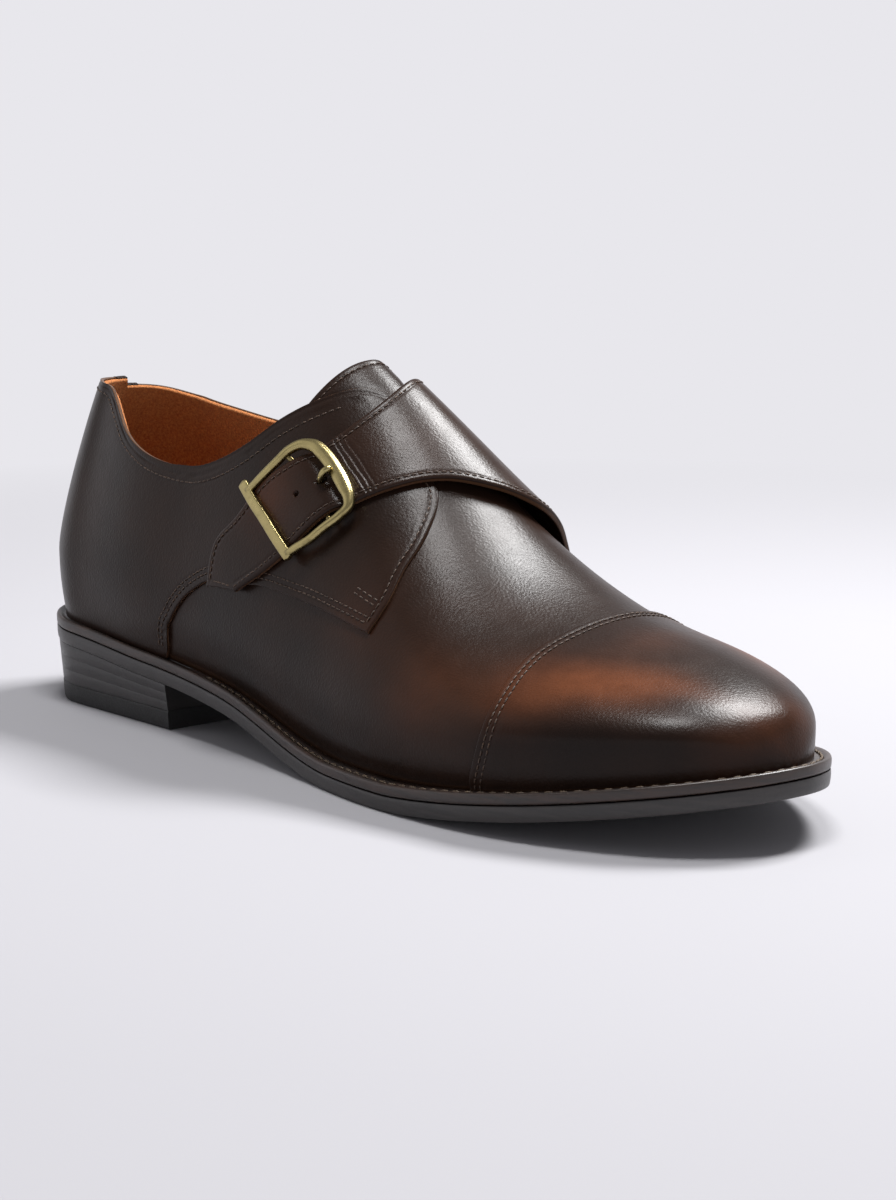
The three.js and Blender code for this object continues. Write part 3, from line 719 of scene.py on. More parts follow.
def antique_brass():
    n = Nodes("antique_brass")
    patina = n.noise(260, 4, 0.6)
    scratches = n.noise(1500, 2, 0.6)
    worn = n.value("worn")
    amount = n.maths("SUBTRACT", n.span(patina, 0.35, 0.7), n.maths("MULTIPLY", worn, 0.7), True)
    n.set(
        Base_Color=n.mix(amount, (0.40, 0.33, 0.15, 1), (0.13, 0.10, 0.04, 1)),
        Metallic=1.0,
        Roughness=n.span(patina, 0.3, 0.7, 0.22, 0.36),
        Normal=n.bump(scratches, 0.08, 0.0002),
    )
    return n.material


def thread(name, base, dark):
    n = Nodes(name)
    twist = n.noise(2600, 2)
    n.set(
        Base_Color=n.mix(n.span(twist, 0.35, 0.65), dark, base),
        Roughness=n.span(twist, 0.0, 1.0, 0.5, 0.75),
        Normal=n.bump(twist, 0.4, 0.0002),
    )
    return n.material


UPPER = burnished_leather("burnished_leather", rgb(37, 23, 16), rgb(94, 51, 27), rgb(23, 15, 11))
STRAP_LEATHER = burnished_leather("strap_leather", rgb(42, 26, 18), rgb(94, 51, 27), rgb(26, 17, 12), 0.31)
LINING_LEATHER = lining_leather()
SOCK = plain_leather("sock_leather", rgb(150, 92, 48), rgb(120, 70, 34), 0.5)
WELT = edge_leather("welt_leather", rgb(50, 34, 26), rgb(32, 23, 19), 0.42)
SOLE_SIDE = edge_leather("sole_edge", rgb(44, 39, 37), rgb(32, 29, 28), 0.45)
HEEL_SIDE = edge_leather("heel_edge", rgb(36, 31, 30), rgb(27, 24, 23), 0.45)
RUBBER = plain_leather("lift_rubber", rgb(24, 23, 23), rgb(18, 17, 17), 0.6, 1500, 0.3)
BRASS = antique_brass()
THREAD = thread("dark_thread", rgb(84, 62, 46), rgb(26, 18, 14))
WELT_THREAD = thread("welt_thread", rgb(96, 78, 58), rgb(52, 40, 29))


# ---- stitching ----
class Stitches:
    """Many short threads, joined into one mesh."""

    def __init__(self, name, material, length, pitch, radius):
        self.name, self.material = name, material
        self.length, self.pitch, self.radius = length, pitch, radius
        self.centres, self.tangents, self.normals = [], [], []

    def along(self, points, normals):
        """Stitches at an even pitch along a line of points."""
        s = run_length(points)
        count = max(1, int(s[-1] / self.pitch))
        at = (np.arange(count) + 0.5) * s[-1] / count
        self.centres.append(read_line(s, points, at))
        ahead = read_line(s, points, at + 0.4) - read_line(s, points, at - 0.4)
        self.tangents.append(unit(ahead))
        self.normals.append(unit(read_line(s, normals, at)))

    def on_last(self, k, w, height):
        k, w, height = np.broadcast_arrays(k, w, height)
        self.along(on_last(k, w, height), last_normal(k, w))

    def build(self):
        c, t, n = (np.concatenate(v) for v in (self.centres, self.tangents, self.normals))
        side = unit(np.cross(t, n))
        places_along = np.array((-0.5, -0.42, -0.2, 0.2, 0.42, 0.5)) * self.length
        radii = np.array((0.35, 0.8, 1.0, 1.0, 0.8, 0.35)) * self.radius
        sink = np.array((-0.9, -0.35, 0.1, 0.1, -0.35, -0.9)) * self.radius
        angles = np.linspace(0, 2 * math.pi, 6, endpoint=False)
        rings = []
        for along, radius, up in zip(places_along, radii, sink):
            middle = c + t * along + n * up
            ring = [middle + side * radius * math.cos(a) + n * radius * math.sin(a) for a in angles]
            rings.append(np.stack(ring, axis=1))
        points = np.stack(rings, axis=1)
        one = tube([list(range(6))] * 6, False)
        faces = []
        for i in range(len(c)):
            faces.extend([tuple(v + i * 36 for v in face) for face in one])
        made = make_object(self.name, points.reshape(-1, 3), faces, self.material)
        return made


fine_stitches = Stitches("upper_stitching", THREAD, 1.75, 2.2, 0.22)
welt_stitches = Stitches("welt_stitching", WELT_THREAD, 3.1, 4.1, 0.42)

# How far the rows of stitches lie from the edges of the panels.
EDGE_ROW = 2.2
SECOND_ROW = 3.9
CAP_ROWS = (2.0, 3.7)
# How far the stitches stand over the leather.
PROUD = 0.02

# ---- edges of the panels, as points on the last ----
OUTER_LOWER = (
    (81, -32.8, 24.6), (82, -34, 29), (85.9, -35.2, 35.2), (92.2, -35.8, 41.6), (101.1, -36.2, 47.1),
    (106.6, -36.4, 49.4), (121, -37.6, 50), (131.4, -38.1, 51.2), (146.8, -38.8, 50.2),
    (159.5, -39.4, 48.7), (171.9, -40.2, 46.6), (183.9, -40.9, 44.5),
)
INNER_LOWER = (
    (77.6, 28, 22), (82, 30, 29), (95.6, 31, 42.4), (114.4, 30.5, 48), (143, 32, 48), (179, 38, 43.8),
)
OUTER_FRONT = (
    (183.9, -40.9, 44.5), (185.4, -35.3, 52.1), (183.9, -27.9, 60.5), (183, -21.5, 66.3),
    (181.2, -16.4, 71), (178.5, -11.3, 75.9), (175.8, -8.6, 79.4), (173.1, -8, 81.8),
)
CAP_SEAM = (
    (230.7, -46.3, 13), (233.9, -47.4, 20.2), (235.8, -46.2, 27.6), (234.6, -39.9, 34.8),
    (232.7, -32.9, 39.5), (231.2, -23.3, 43.9), (231, -11.2, 47.4), (230.7, 0, 49.3), (230, 11.9, 49.8),
    (228.8, 20, 48.8), (226.8, 27.2, 47.1), (226, 38, 40), (226, 46, 30), (225, 48, 20),
    (222.5, 47.3, 11.5),
)

# The inner quarter's front and the strap, in rows from the quarter's lower edge to the strap's tip.
# Each row: rear edge x and w, front edge x and w, height of the rear and front edge, thickness.
BAND = np.array((
    (108.0, 0.79, 179.0, 0.76, 1.15, 1.3, 1.1),
    (108.6, 0.68, 180.8, 0.66, 1.15, 1.9, 1.3),
    (109.6, 0.57, 181.6, 0.56, 1.15, 3.0, 1.6),
    (111.0, 0.46, 182.2, 0.46, 1.2, 4.2, 1.9),
    (112.5, 0.36, 183.0, 0.36, 1.6, 5.0, 2.0),
    (124.0, 0.25, 185.0, 0.25, 2.4, 5.3, 2.1),
    (136.0, 0.14, 186.0, 0.12, 2.9, 5.2, 2.1),
    (145.5, 0.03, 182.0, 0.0, 3.2, 4.4, 2.1),
    (149.3, -0.08, 175.2, -0.115, 3.4, 3.7, 2.1),
    (147.6, -0.19, 168.0, -0.24, 3.4, 3.5, 2.1),
    (142.8, -0.285, 161.3, -0.336, 3.4, 3.4, 2.1),
    (135.8, -0.37, 155.8, -0.405, 3.5, 3.5, 2.1),
    (127.5, -0.455, 149.5, -0.492, 3.5, 3.5, 2.1),
    (119.0, -0.563, 142.5, -0.575, 3.3, 3.3, 2.0),
    (110.4, -0.648, 134.5, -0.65, 3.2, 3.2, 1.9),
    (108.7, -0.757, 124.0, -0.727, 3.1, 3.1, 1.8),
))
BAND_START = -4
TIP_ROW = BAND_START + len(BAND) - 1
# The strap's rise over the buckle's middle bar: row, extra height.
STRAP_RISE = ((5.6, 0), (6.25, 0.0), (6.62, 1.15), (7.05, 1.75), (7.5, 1.65), (8.1, 0.95), (8.7, 0.3),
              (9.4, 0))
# Creases across the strap in front of the buckle: row, depth, half width in rows.
STRAP_CREASES = ((5.38, 0.07, 0.03), (5.52, 0.13, 0.035), (5.66, 0.15, 0.035), (5.8, 0.1, 0.03))
PRONG_HOLE = (6.55, 0.5, 1.35)
SPARE_HOLE = (7.4, 0.5, 0.95)


def band_column(n, row):
    row = np.asarray(row, float) - BAND_START
    last = len(BAND) - 1
    i = np.clip(np.floor(row).astype(int), 0, last - 1)
    f = row - i
    p0, p1, p2, p3 = (BAND[np.clip(i + m, 0, last), n] for m in (-1, 0, 1, 2))
    square, cube = 2 * p0 - 5 * p1 + 4 * p2 - p3, 3 * p1 - p0 - 3 * p2 + p3
    return p1 + 0.5 * ((p2 - p0) * f + square * f**2 + cube * f**3)


def band_place(row, f):
    """Place on the last of a point of the band; f runs from its rear edge, 0, to its front edge, 1."""
    row, f = np.broadcast_arrays(np.asarray(row, float), np.asarray(f, float))
    x = lerp(band_column(0, row), band_column(2, row), f)
    w = lerp(band_column(1, row), band_column(3, row), f)
    near_foot = np.clip(1 - (row - BAND_START), 0, 1)
    k = k_at(x)
    return k, w + near_foot**2 * (inner_low_w(k) - w)


def band_height(row, f):
    """Height of the band's face before its edges are rounded."""
    flat = lerp(band_column(4, row), band_column(5, row), f)
    return flat + through(STRAP_RISE, row)


inner_low_k, inner_low = places(INNER_LOWER)
outer_low_k, outer_low = places(OUTER_LOWER)


def inner_low_w(k):
    return np.where(k < inner_low_k[0], 1.0, through(np.column_stack((inner_low_k, inner_low)), k))


def inner_top_w(k):
    """The inner quarter's top edge, which runs on into the strap's rear edge."""
    rear = BAND[-BAND_START:-BAND_START + 4]
    meet = k_at(rear[0, 0])
    drop = rear[0, 1] - float(top_w(1, np.array([meet]))[0])
    quarter = top_w(1, k) + step_up(k_at(96), meet, k) * drop
    strap = np.maximum(np.interp(k, k_at(rear[:, 0]), rear[:, 1]), 1 - TOP_LIMIT)
    return np.where(k < meet, quarter, strap)


def outer_low_w(k):
    return np.where(k < outer_low_k[0], -1.0, through(np.column_stack((outer_low_k, outer_low)), k))


def edge_distance(k, w, edges):
    """Distance of each point of a grid on the last from the nearest of some lines."""
    p = last_point(k, w)
    return np.min([distance_to(p, edge) for edge in edges], axis=0).reshape(k.shape)


def panel_heights(k, w, edges, stitched):
    """Heights of a panel's face and back, from the distance to its open edges."""
    d = edge_distance(k, w, edges)
    top = LAYER - rounding(d, 0.5)
    for at in stitched:
        top = top - stitch_groove(d, at)
    return top, np.zeros_like(top)


def densely(k, w):
    return last_point(*even_line(k, w, 0.8))


# ---- vamp, toe cap and quarters ----
def vamp():
    """The forepart, which runs back in two wings under the quarters."""
    side = np.linspace(0.3, 1, 44)
    w_line = np.concatenate((-side[::-1], np.linspace(-0.3, 0.3, 30)[1:-1], side))
    seam_k, seam_w = places(CAP_SEAM)
    seam = through(np.column_stack((seam_w, seam_k)), w_line)
    back = k_at(152 - 100 * step_up(0.35, 0.62, np.abs(w_line)))
    k = lerp(back, seam + 0.25, np.linspace(0, 1, 110)[:, None])
    w = np.broadcast_to(w_line, k.shape)
    top = -0.02 - 0.27 * step_up(-0.1, 0.22, k - seam)
    made = leather_shell("vamp", [(k, w, top, np.full_like(k, -0.65))], UPPER)
    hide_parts("upper")
    return made


def toe_cap():
    """The cap over the toe, stitched over the vamp with two rows."""
    seam_k, seam_w = places(CAP_SEAM)
    w_line = np.linspace(-1, 1, 140)
    seam = through(np.column_stack((seam_w, seam_k)), w_line)
    k_rows, w_rows = [], []
    for start, w in zip(seam, w_line):
        k = lerp(start, TOE_K, np.linspace(0, 1, 200))
        k_rows.append(k)
        w_rows.append(np.full_like(k, w))
    k, w = respace(np.array(k_rows), np.array(w_rows), 1.3, True, False)
    edge = densely(seam, w_line)
    top, bottom = panel_heights(k, w, [edge], CAP_ROWS)
    made = leather_shell("toe_cap", [(k, w, top, bottom)], UPPER)
    for at in CAP_ROWS:
        fine_stitches.on_last(*sideways(*even_line(seam, w_line, 1.0), -at), LAYER + PROUD)
    return made


def with_count(line, count):
    """A line respaced evenly to a count of points."""
    s = run_length(last_point(*line))
    return read_places(s, line, np.linspace(0, s[-1], count))


def lower_line(low_w, low_k, k_end, count=400):
    """The quarter's lower edge: the feather edge as far as the vamp's wing, then the seam over it."""
    k = np.concatenate((np.linspace(0, low_k[0], 120)[:-1], np.linspace(low_k[0], k_end, count)))
    return k, low_w(k)


def outer_quarter():
    """The outer side's rear panel, which ends in a point over the vamp."""
    columns, rows = 260, 120
    corner_k, turn_k, end_k = k_at(OUTER_LOWER[-1][0]), k_at(100), k_at(THROAT_X)
    low = with_count(lower_line(outer_low_w, outer_low_k, corner_k), columns)
    front_k, front_w = places(OUTER_FRONT)
    front_k = np.concatenate(([low[0][-1]], front_k[1:], [k_at(163), end_k]))
    front_w = np.concatenate(([low[1][-1]], front_w[1:], [-0.08, -(1 - TOP_LIMIT)]))
    front = curve(front_k, front_w, rows)
    forward = (low[0] - turn_k) / (corner_k - turn_k)
    k_high = np.where(forward < 0, low[0], lerp(turn_k, end_k, forward))
    high = (k_high, top_w(-1, k_high))
    left = (np.zeros(rows), np.linspace(-1, high[1][0], rows))
    k, w = coons(low, high, left, front)
    k, w = respace(k, w, 1.5, True, True)
    k, w = respace(k.T, w.T, 1.4, False, True)
    k, w = k.T, w.T
    seam = np.nonzero(low[0] >= outer_low_k[0])[0]
    seam_line = (low[0][seam], low[1][seam])
    edges = [densely(*seam_line), densely(*front), densely(*high)]
    top, bottom = panel_heights(k, w, edges, (EDGE_ROW,))
    top = top - stitch_groove(edge_distance(k, w, edges[:1]), SECOND_ROW)
    made = leather_shell("outer_quarter", [(k, w, top, bottom)], UPPER)
    stitched = (
        (seam_line, EDGE_ROW, 0, EDGE_ROW),
        (seam_line, SECOND_ROW, 0, EDGE_ROW),
        (front, EDGE_ROW, EDGE_ROW, 25),
        (high, -EDGE_ROW, 0, 12),
    )
    for line, inset, start, end in stitched:
        fine_stitches.on_last(*trimmed(sideways(*even_line(*line, 1.0), inset), start, end), LAYER + PROUD)
    bar_tack(((173.1, -36, 54.5), (182.4, -36.3, 51.7)))
    return made


def trimmed(line, start, end):
    """A line without a stretch at each end."""
    s = run_length(last_point(*line))
    return read_places(s, line, np.arange(start, s[-1] - end, 0.8))


def bar_tack(ends):
    """Two close rows of stitches across the foot of a quarter's front edge."""
    k, w = places(ends)
    line = even_line(k, w, 0.8)
    for at in (-0.8, 0.8):
        fine_stitches.on_last(*sideways(*line, at), LAYER + 0.05)


def band_rows():
    """Rows of the band's grid: close together at its open ends, its creases and its holes."""
    rear = last_point(*band_place(np.linspace(BAND_START, 0, 200), 0.0))
    foot = run_length(rear)
    foot_rows = np.interp(spacing(foot[-1], 24, True, True), foot, np.linspace(BAND_START, 0, 200))
    middle = last_point(*band_place(np.linspace(0, TIP_ROW, 600), 0.5))
    s = run_length(middle)
    strap_rows = np.interp(spacing(s[-1], 130, False, True), s, np.linspace(0, TIP_ROW, 600))
    extra = np.concatenate(
        (
            np.arange(5.2, 5.8, 0.02),
            np.arange(PRONG_HOLE[0] - 0.15, PRONG_HOLE[0] + 0.15, 0.018),
            np.arange(SPARE_HOLE[0] - 0.12, SPARE_HOLE[0] + 0.12, 0.016),
        )
    )
    rows = np.unique(np.round(np.concatenate((foot_rows, strap_rows, extra)), 4))
    keep = np.concatenate(([True], np.diff(rows) > 0.003))
    return rows[keep]


def band_grid():
    """The band's grid: its row and f, and the place on the last, of each point."""
    rows = band_rows()
    ks, ws, fs = [], [], []
    for row in rows:
        s = run_length(last_point(*band_place(row, np.linspace(0, 1, 120))))
        near_holes = 0.5 + np.linspace(-1.5, 1.5, 13) / s[-1]
        left = np.linspace(EDGE_STEPS[-1] / s[-1], near_holes[0], 22)[:-1]
        right = np.linspace(near_holes[-1], 1 - EDGE_STEPS[-1] / s[-1], 22)[1:]
        start = np.array(EDGE_STEPS[:-1]) / s[-1]
        f = np.concatenate((start, left, near_holes, right, 1 - start[::-1]))
        k, w = band_place(row, f)
        ks.append(k)
        ws.append(w)
        fs.append(f)
    f, k, w = np.array(fs), np.array(ks), np.array(ws)
    return np.broadcast_to(rows[:, None], f.shape), f, k, w


def inner_quarter_and_strap():
    """The inner side's rear panel, and the strap that is cut in one piece with it."""
    row, f, k, w = band_grid()
    foot = row[:, 0] <= 1e-6
    shared_k, shared_w = k[foot, 0], w[foot, 0]
    # the quarter behind the band
    columns = 170
    end_k = k[0, 0]
    low = with_count(lower_line(inner_low_w, inner_low_k, end_k), columns)
    low[0][-1], low[1][-1] = shared_k[0], shared_w[0]
    k_high = np.interp(low[0], (0, end_k), (0, shared_k[-1]))
    high = (k_high, inner_top_w(k_high))
    high[1][-1] = shared_w[-1]
    fine = 120
    shared_s = run_length(last_point(shared_k, shared_w))
    right = read_places(shared_s, (shared_k, shared_w), np.linspace(0, shared_s[-1], fine))
    left = (np.zeros(fine), np.linspace(1, high[1][0], fine))
    qk, qw = coons(low, high, left, right)
    rim = EDGE_STEPS[-1]
    lines = []
    for line in zip(qk, qw):
        s = run_length(last_point(*line))
        size, shared_size = s[-1], shared_s[-1]
        wanted = np.interp(shared_s, (0, rim, shared_size - rim, shared_size), (0, rim, size - rim, size))
        lines.append(read_places(s, line, wanted))
    qk, qw = np.array(lines).transpose(1, 0, 2).copy()
    qk[-1], qw[-1] = shared_k, shared_w
    # open edges
    strap = row[:, 0] >= -1e-6
    seam = np.nonzero(low[0] >= inner_low_k[0])[0]
    seam_line = (low[0][seam], low[1][seam])
    edges = [
        densely(*seam_line),
        last_point(k[0], w[0]),
        last_point(k[:, -1], w[:, -1]),
        last_point(k[-1], w[-1]),
        last_point(k[strap, 0], w[strap, 0]),
        densely(*high),
    ]
    top_q, bottom_q = panel_heights(qk, qw, edges, (EDGE_ROW,))
    lower = edges[:2]
    top_q = top_q - stitch_groove(edge_distance(qk, qw, lower), SECOND_ROW)
    face = band_height(row, f)
    thick = band_column(6, row)
    at_quarter = 1 - step_up(0, 0.25, f)
    face = lerp(face, LAYER, at_quarter * (row < 0))
    thick = np.where(row < 0, np.minimum(thick, face), thick)
    d = edge_distance(k, w, edges)
    face = face - rounding(d, 0.7 * step_up(-4.5, 0, row) + 0.25) - stitch_groove(d, EDGE_ROW)
    face = face - stitch_groove(edge_distance(k, w, lower), SECOND_ROW)
    back = band_height(row, f) - thick
    back = np.where(row < 0, lerp(back, 0.0, at_quarter), back)
    back = back + rounding(d, 0.5) * step_up(-2, 0, row)
    for at, depth, width in STRAP_CREASES:
        wander = 0.022 * np.sin(5 * f + 40 * at) + 0.008 * np.sin(17 * f + 11 * at)
        off = (row - at - wander) / width
        face = face - depth * np.exp(-(off**2)) + 0.5 * depth * np.exp(-((off - 1.9) ** 2))
    for at, at_f, radius in (PRONG_HOLE, SPARE_HOLE):
        centre = last_point(*band_place(at, at_f))
        away = np.linalg.norm(last_point(k, w) - centre, axis=2)
        face = face - 1.7 * (1 - step_up(radius - 0.25, radius, away))
    face = np.maximum(face, back + 0.1)
    top_q[-1], bottom_q[-1] = face[foot, 0], back[foot, 0]
    made = leather_shell(
        "inner_quarter_and_strap",
        [(qk, qw, top_q, bottom_q), (k, w, face, back)],
        STRAP_LEATHER,
        strap_tones,
    )
    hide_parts("strap")
    # stitching: the quarter's lower seam, its front and the strap's edges, and the collar
    whole = (np.concatenate((low[0][seam], k[0, 1:])), np.concatenate((low[1][seam], w[0, 1:])))
    for at in (EDGE_ROW, SECOND_ROW):
        line = trimmed(sideways(*even_line(*whole, 1.0), -at), 0, EDGE_ROW)
        fine_stitches.on_last(*line, LAYER + 0.03)
    for edge, sign in ((0.0, 1), (1.0, -1)):
        first = 0.02 if edge == 0.0 else BAND_START + 0.25
        rows = np.linspace(first, TIP_ROW - 0.22, 400)
        width = np.array([run_length(last_point(*band_place(r, np.linspace(0, 1, 30))))[-1] for r in rows])
        inset = edge + sign * EDGE_ROW / width
        fine_stitches.on_last(*band_place(rows, inset), band_height(rows, inset) + PROUD)
    tip_f = np.linspace(0.24, 0.76, 12)
    tip_row = np.full(12, TIP_ROW - 0.22)
    fine_stitches.on_last(*band_place(tip_row, tip_f), band_height(tip_row, tip_f) + PROUD)
    fine_stitches.on_last(*trimmed(sideways(*even_line(*high, 1.0), EDGE_ROW), 0, 1), LAYER + PROUD)
    bar_tack(((165, 32.9, 53.4), (177.6, 34.5, 52.2)))
    return made


def strap_tones(k, w):
    """The burnish of the inner panel, with a warmer strap end behind the buckle."""
    glow, burn = tones(k, w)
    x = last_point(k, w)[..., 0]
    on_tip = np.exp(-(((x - 128) / 13) ** 2) - ((w + 0.47) / 0.09) ** 2)
    return np.clip(glow + 0.35 * on_tip, 0, 1), burn


# ---- backstay, lining, tongue, sock ----
def backstay():
    """The strip over the back seam, up to the middle of the collar's top edge."""
    half, turn = 7.0, 16
    arc = 12.0
    across = spacing(2 * half, 14, True, True) - half
    up = np.concatenate((np.linspace(0.0, 0.9, 40), np.linspace(0.9, 1, 16)[1:]))
    points, under = [], []
    for a in across:
        k0 = abs(a) / arc
        side = -1 if a < 0 else 1
        end = float(top_w(side, np.array([k0]))[0])
        w = lerp(side * 1.0, end, up)
        k = k0 * lerp(0.62, 1.0, up**1.5)
        d = half - abs(a)
        face = LAYER + 0.35 - rounding(d, 0.33) - stitch_groove(d, 1.8, 0.1)
        p = on_last(k, w, face)
        q = on_last(k, w, LAYER - 0.05)
        n = last_normal(k[-1:], w[-1:])[0]
        rise = unit(p[-1] - p[-3])
        centre = last_point(k[-1:], w[-1:])[0] + n * (LAYER - LINING) / 2
        outside = face - (LAYER - LINING) / 2
        inside = outside - 0.4
        bend = np.linspace(0, 0.58 * math.pi, turn)[1:, None]
        over = centre + n * np.cos(bend) * outside + rise * np.sin(bend) * 0.4 * outside / 1.9
        below = centre + n * np.cos(bend) * inside + rise * np.sin(bend) * 0.2 * inside
        points.append(np.vstack((p, over)))
        under.append(np.vstack((q, below)))
    top, low = np.array(points), np.array(under)
    quads = grid_quads(*top.shape[:2])
    one = np.cross(top[8, 10] - top[7, 10], top[7, 11] - top[7, 10])
    if one[0] > 0:
        quads = quads[:, ::-1]
    faces, _ = closed(quads.tolist(), top.shape[0] * top.shape[1])
    every = np.vstack((top.reshape(-1, 3), low.reshape(-1, 3)))
    made = make_object("backstay", every, faces, UPPER, glow=0.0, burn=0.1, rim=0.0)
    for n in (8, -9):
        line = top[n, :56]
        outwards = np.gradient(line, axis=0)
        normals = unit(np.cross(np.cross(outwards, (-1, 0, 0)), outwards) + np.array((-1e-6, 0, 0)))
        fine_stitches.along(line, np.where(normals[:, :1] > 0, -normals, normals))
    return made


LINING_SEAM_X = 88.0


def lining():
    """The lining of the quarters, from one side of the throat round the heel to the other."""
    end = float(k_at(152))
    stations = np.concatenate((-np.linspace(end, 0, 130)[:-1], np.linspace(0, end, 130)))
    k_rows, w_rows = [], []
    for s in stations:
        side = -1 if s < 0 else 1
        at = np.array([abs(s)])
        edge = float((top_w(-1, at) if side < 0 else inner_top_w(at))[0])
        w = lerp(side * 0.985, edge, np.linspace(0, 1, 100))
        k_rows.append(np.full(100, abs(s)))
        w_rows.append(w)
    k, w = respace(np.array(k_rows), np.array(w_rows), 2.0, False, True)
    p, n = last_point(k, w), last_normal(k, w)
    s = np.linalg.norm(p - p[:, -1:], axis=2)
    x = p[..., 0]
    seam = 0.35 * np.exp(-(((x - LINING_SEAM_X) / 0.6) ** 2)) * (np.abs(k) > FIRST_K)
    inner = -LINING + rounding(s, 0.55) + seam
    outer = -0.03 - rounding(s, 0.3) - 0.72 * step_up(2.5, 9.0, s)
    inside = p + n * inner[..., None]
    outside = p + n * outer[..., None]
    quads = grid_quads(*k.shape)
    one = (10, 10)
    along = inside[11, 10] - inside[one]
    up = inside[10, 11] - inside[one]
    if np.dot(np.cross(along, up), n[one]) > 0:
        quads = quads[:, ::-1]
    faces, _ = closed(quads.tolist(), k.size)
    grip = 1 - step_up(LINING_SEAM_X - 1.2, LINING_SEAM_X - 0.2, x.ravel())
    every = np.vstack((inside.reshape(-1, 3), outside.reshape(-1, 3)))
    made = make_object("quarter_lining", every, faces, LINING_LEATHER, grip=np.tile(grip, 2))
    return made


def vamp_lining():
    """The lining of the forepart."""
    w_line = np.linspace(-0.985, 0.985, 70)
    k = lerp(float(k_at(154)), TOE_K - 0.5, np.linspace(0, 1, 60))[:, None] + 0 * w_line
    w = np.broadcast_to(w_line, k.shape)
    made = leather_shell(
        "vamp_lining", [(k, w, np.full_like(k, -1.3), np.full_like(k, -2.1))], LINING_LEATHER
    )
    return made


# Half width of the tongue, from its top edge down: x in its middle, half width in w.
TONGUE = ((134.6, 0.25), (135.6, 0.28), (138, 0.295), (145, 0.29), (158, 0.26), (172, 0.21), (188, 0.15))
TONGUE_SWEEP = 31.0


def tongue():
    """The tongue, tucked under the quarters' edges."""
    x = TONGUE[0][0] + spacing(TONGUE[-1][0] - TONGUE[0][0], 36, True, False)
    half = through(TONGUE, x)
    w = half[:, None] * np.linspace(-1, 1, 161)
    sweep = TONGUE_SWEEP * (np.sqrt(w**2 + 0.04**2) - 0.04)
    k = k_at(x[:, None] - sweep)
    k, w = respace(k, w, 1.3, True, True)
    collar = np.where(w < 0, -top_w(-1, k), top_w(1, k))
    tucked = step_up(-0.06, 0.0, np.abs(w) - collar)
    rim = [np.concatenate((grid[::-1, 0], grid[0, 1:], grid[1:, -1])) for grid in (k, w)]
    edge = last_point(*rim)
    d = edge_distance(k, w, [edge])
    level = -0.8 - 1.6 * tucked
    face = level - rounding(d, 0.9) - stitch_groove(d, 2.4)
    back = level - 2.5 + rounding(d, 0.5)
    made = leather_shell("tongue_leather", [(k, w, face, back)], UPPER)
    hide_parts("tongue")
    inset = sideways(*even_line(*rim, 1.0), -2.4)
    shown = last_point(*inset)[:, 0] < 140
    gap = distance_to(last_point(*inset), edge)
    keep = shown & (gap > 2.1) & (np.abs(inset[1]) < 0.26)
    fine_stitches.on_last(inset[0][keep], inset[1][keep], -0.8)
    return made


def feather_loop(count=420):
    """Places round the feather edge: down the outer side to the toe and back up the inner side."""
    k = np.concatenate((np.linspace(0, TOE_K, 500), np.linspace(TOE_K, 0, 500)[1:]))
    w = np.concatenate((np.full(500, -1.0), np.full(499, 1.0)))
    p = last_point(k, w)
    s = run_length(p)
    at = np.linspace(0, s[-1], count, endpoint=False)
    ring = read_line(s, p, at)
    flow = np.roll(ring, -2, axis=0) - np.roll(ring, 2, axis=0)
    outward = unit(np.column_stack((flow[:, 1], -flow[:, 0], np.zeros(count))))
    return ring, outward


def ring_piece(name, profile, material):
    """A ring round the shoe from a profile: points (out, height), given x and the margin there."""
    ring, outward = feather_loop()
    edge = through(MARGIN, ring[:, 0])
    loops = []
    for n in range(len(ring)):
        out, height = profile(edge[n])
        p = ring[n] + outward[n] * out[:, None]
        p[:, 2] = seat_z(p[:, 0]) + height
        loops.append(p)
    loops = np.array(loops)
    faces = tube(loops, True)
    return make_object(name, loops.reshape(-1, 3), faces, material)


def welt():
    def profile(edge):
        rows = (
            (-2.4, -2.85), (-2.4, 0.0), (0.2, 0.0), (edge - 3.3, 0.0), (edge - 2.95, -0.28),
            (edge - 2.5, -0.36), (edge - 2.05, -0.28), (edge - 1.75, 0.02), (edge - 1.3, 0.26),
            (edge - 0.8, 0.34), (edge - 0.4, 0.24), (edge - 0.12, 0.0), (edge, -0.35), (edge + 0.03, -0.8),
            (edge + 0.02, -2.0), (edge - 0.05, -2.45), (edge - 0.3, -2.75), (edge - 0.7, -2.85),
        )
        rows = np.array(rows)
        return rows[:, 0], rows[:, 1]

    made = ring_piece("welt_strip", profile, WELT)
    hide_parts("welt")
    ring, outward = feather_loop()
    edge = through(MARGIN, ring[:, 0])
    line = ring + outward * (edge - 2.5)[:, None]
    line[:, 2] = seat_z(line[:, 0]) - 0.05
    points = line[ring[:, 0] > 100]
    welt_stitches.along(points, np.tile((0.0, 0.0, 1.0), (len(points), 1)))
    return made


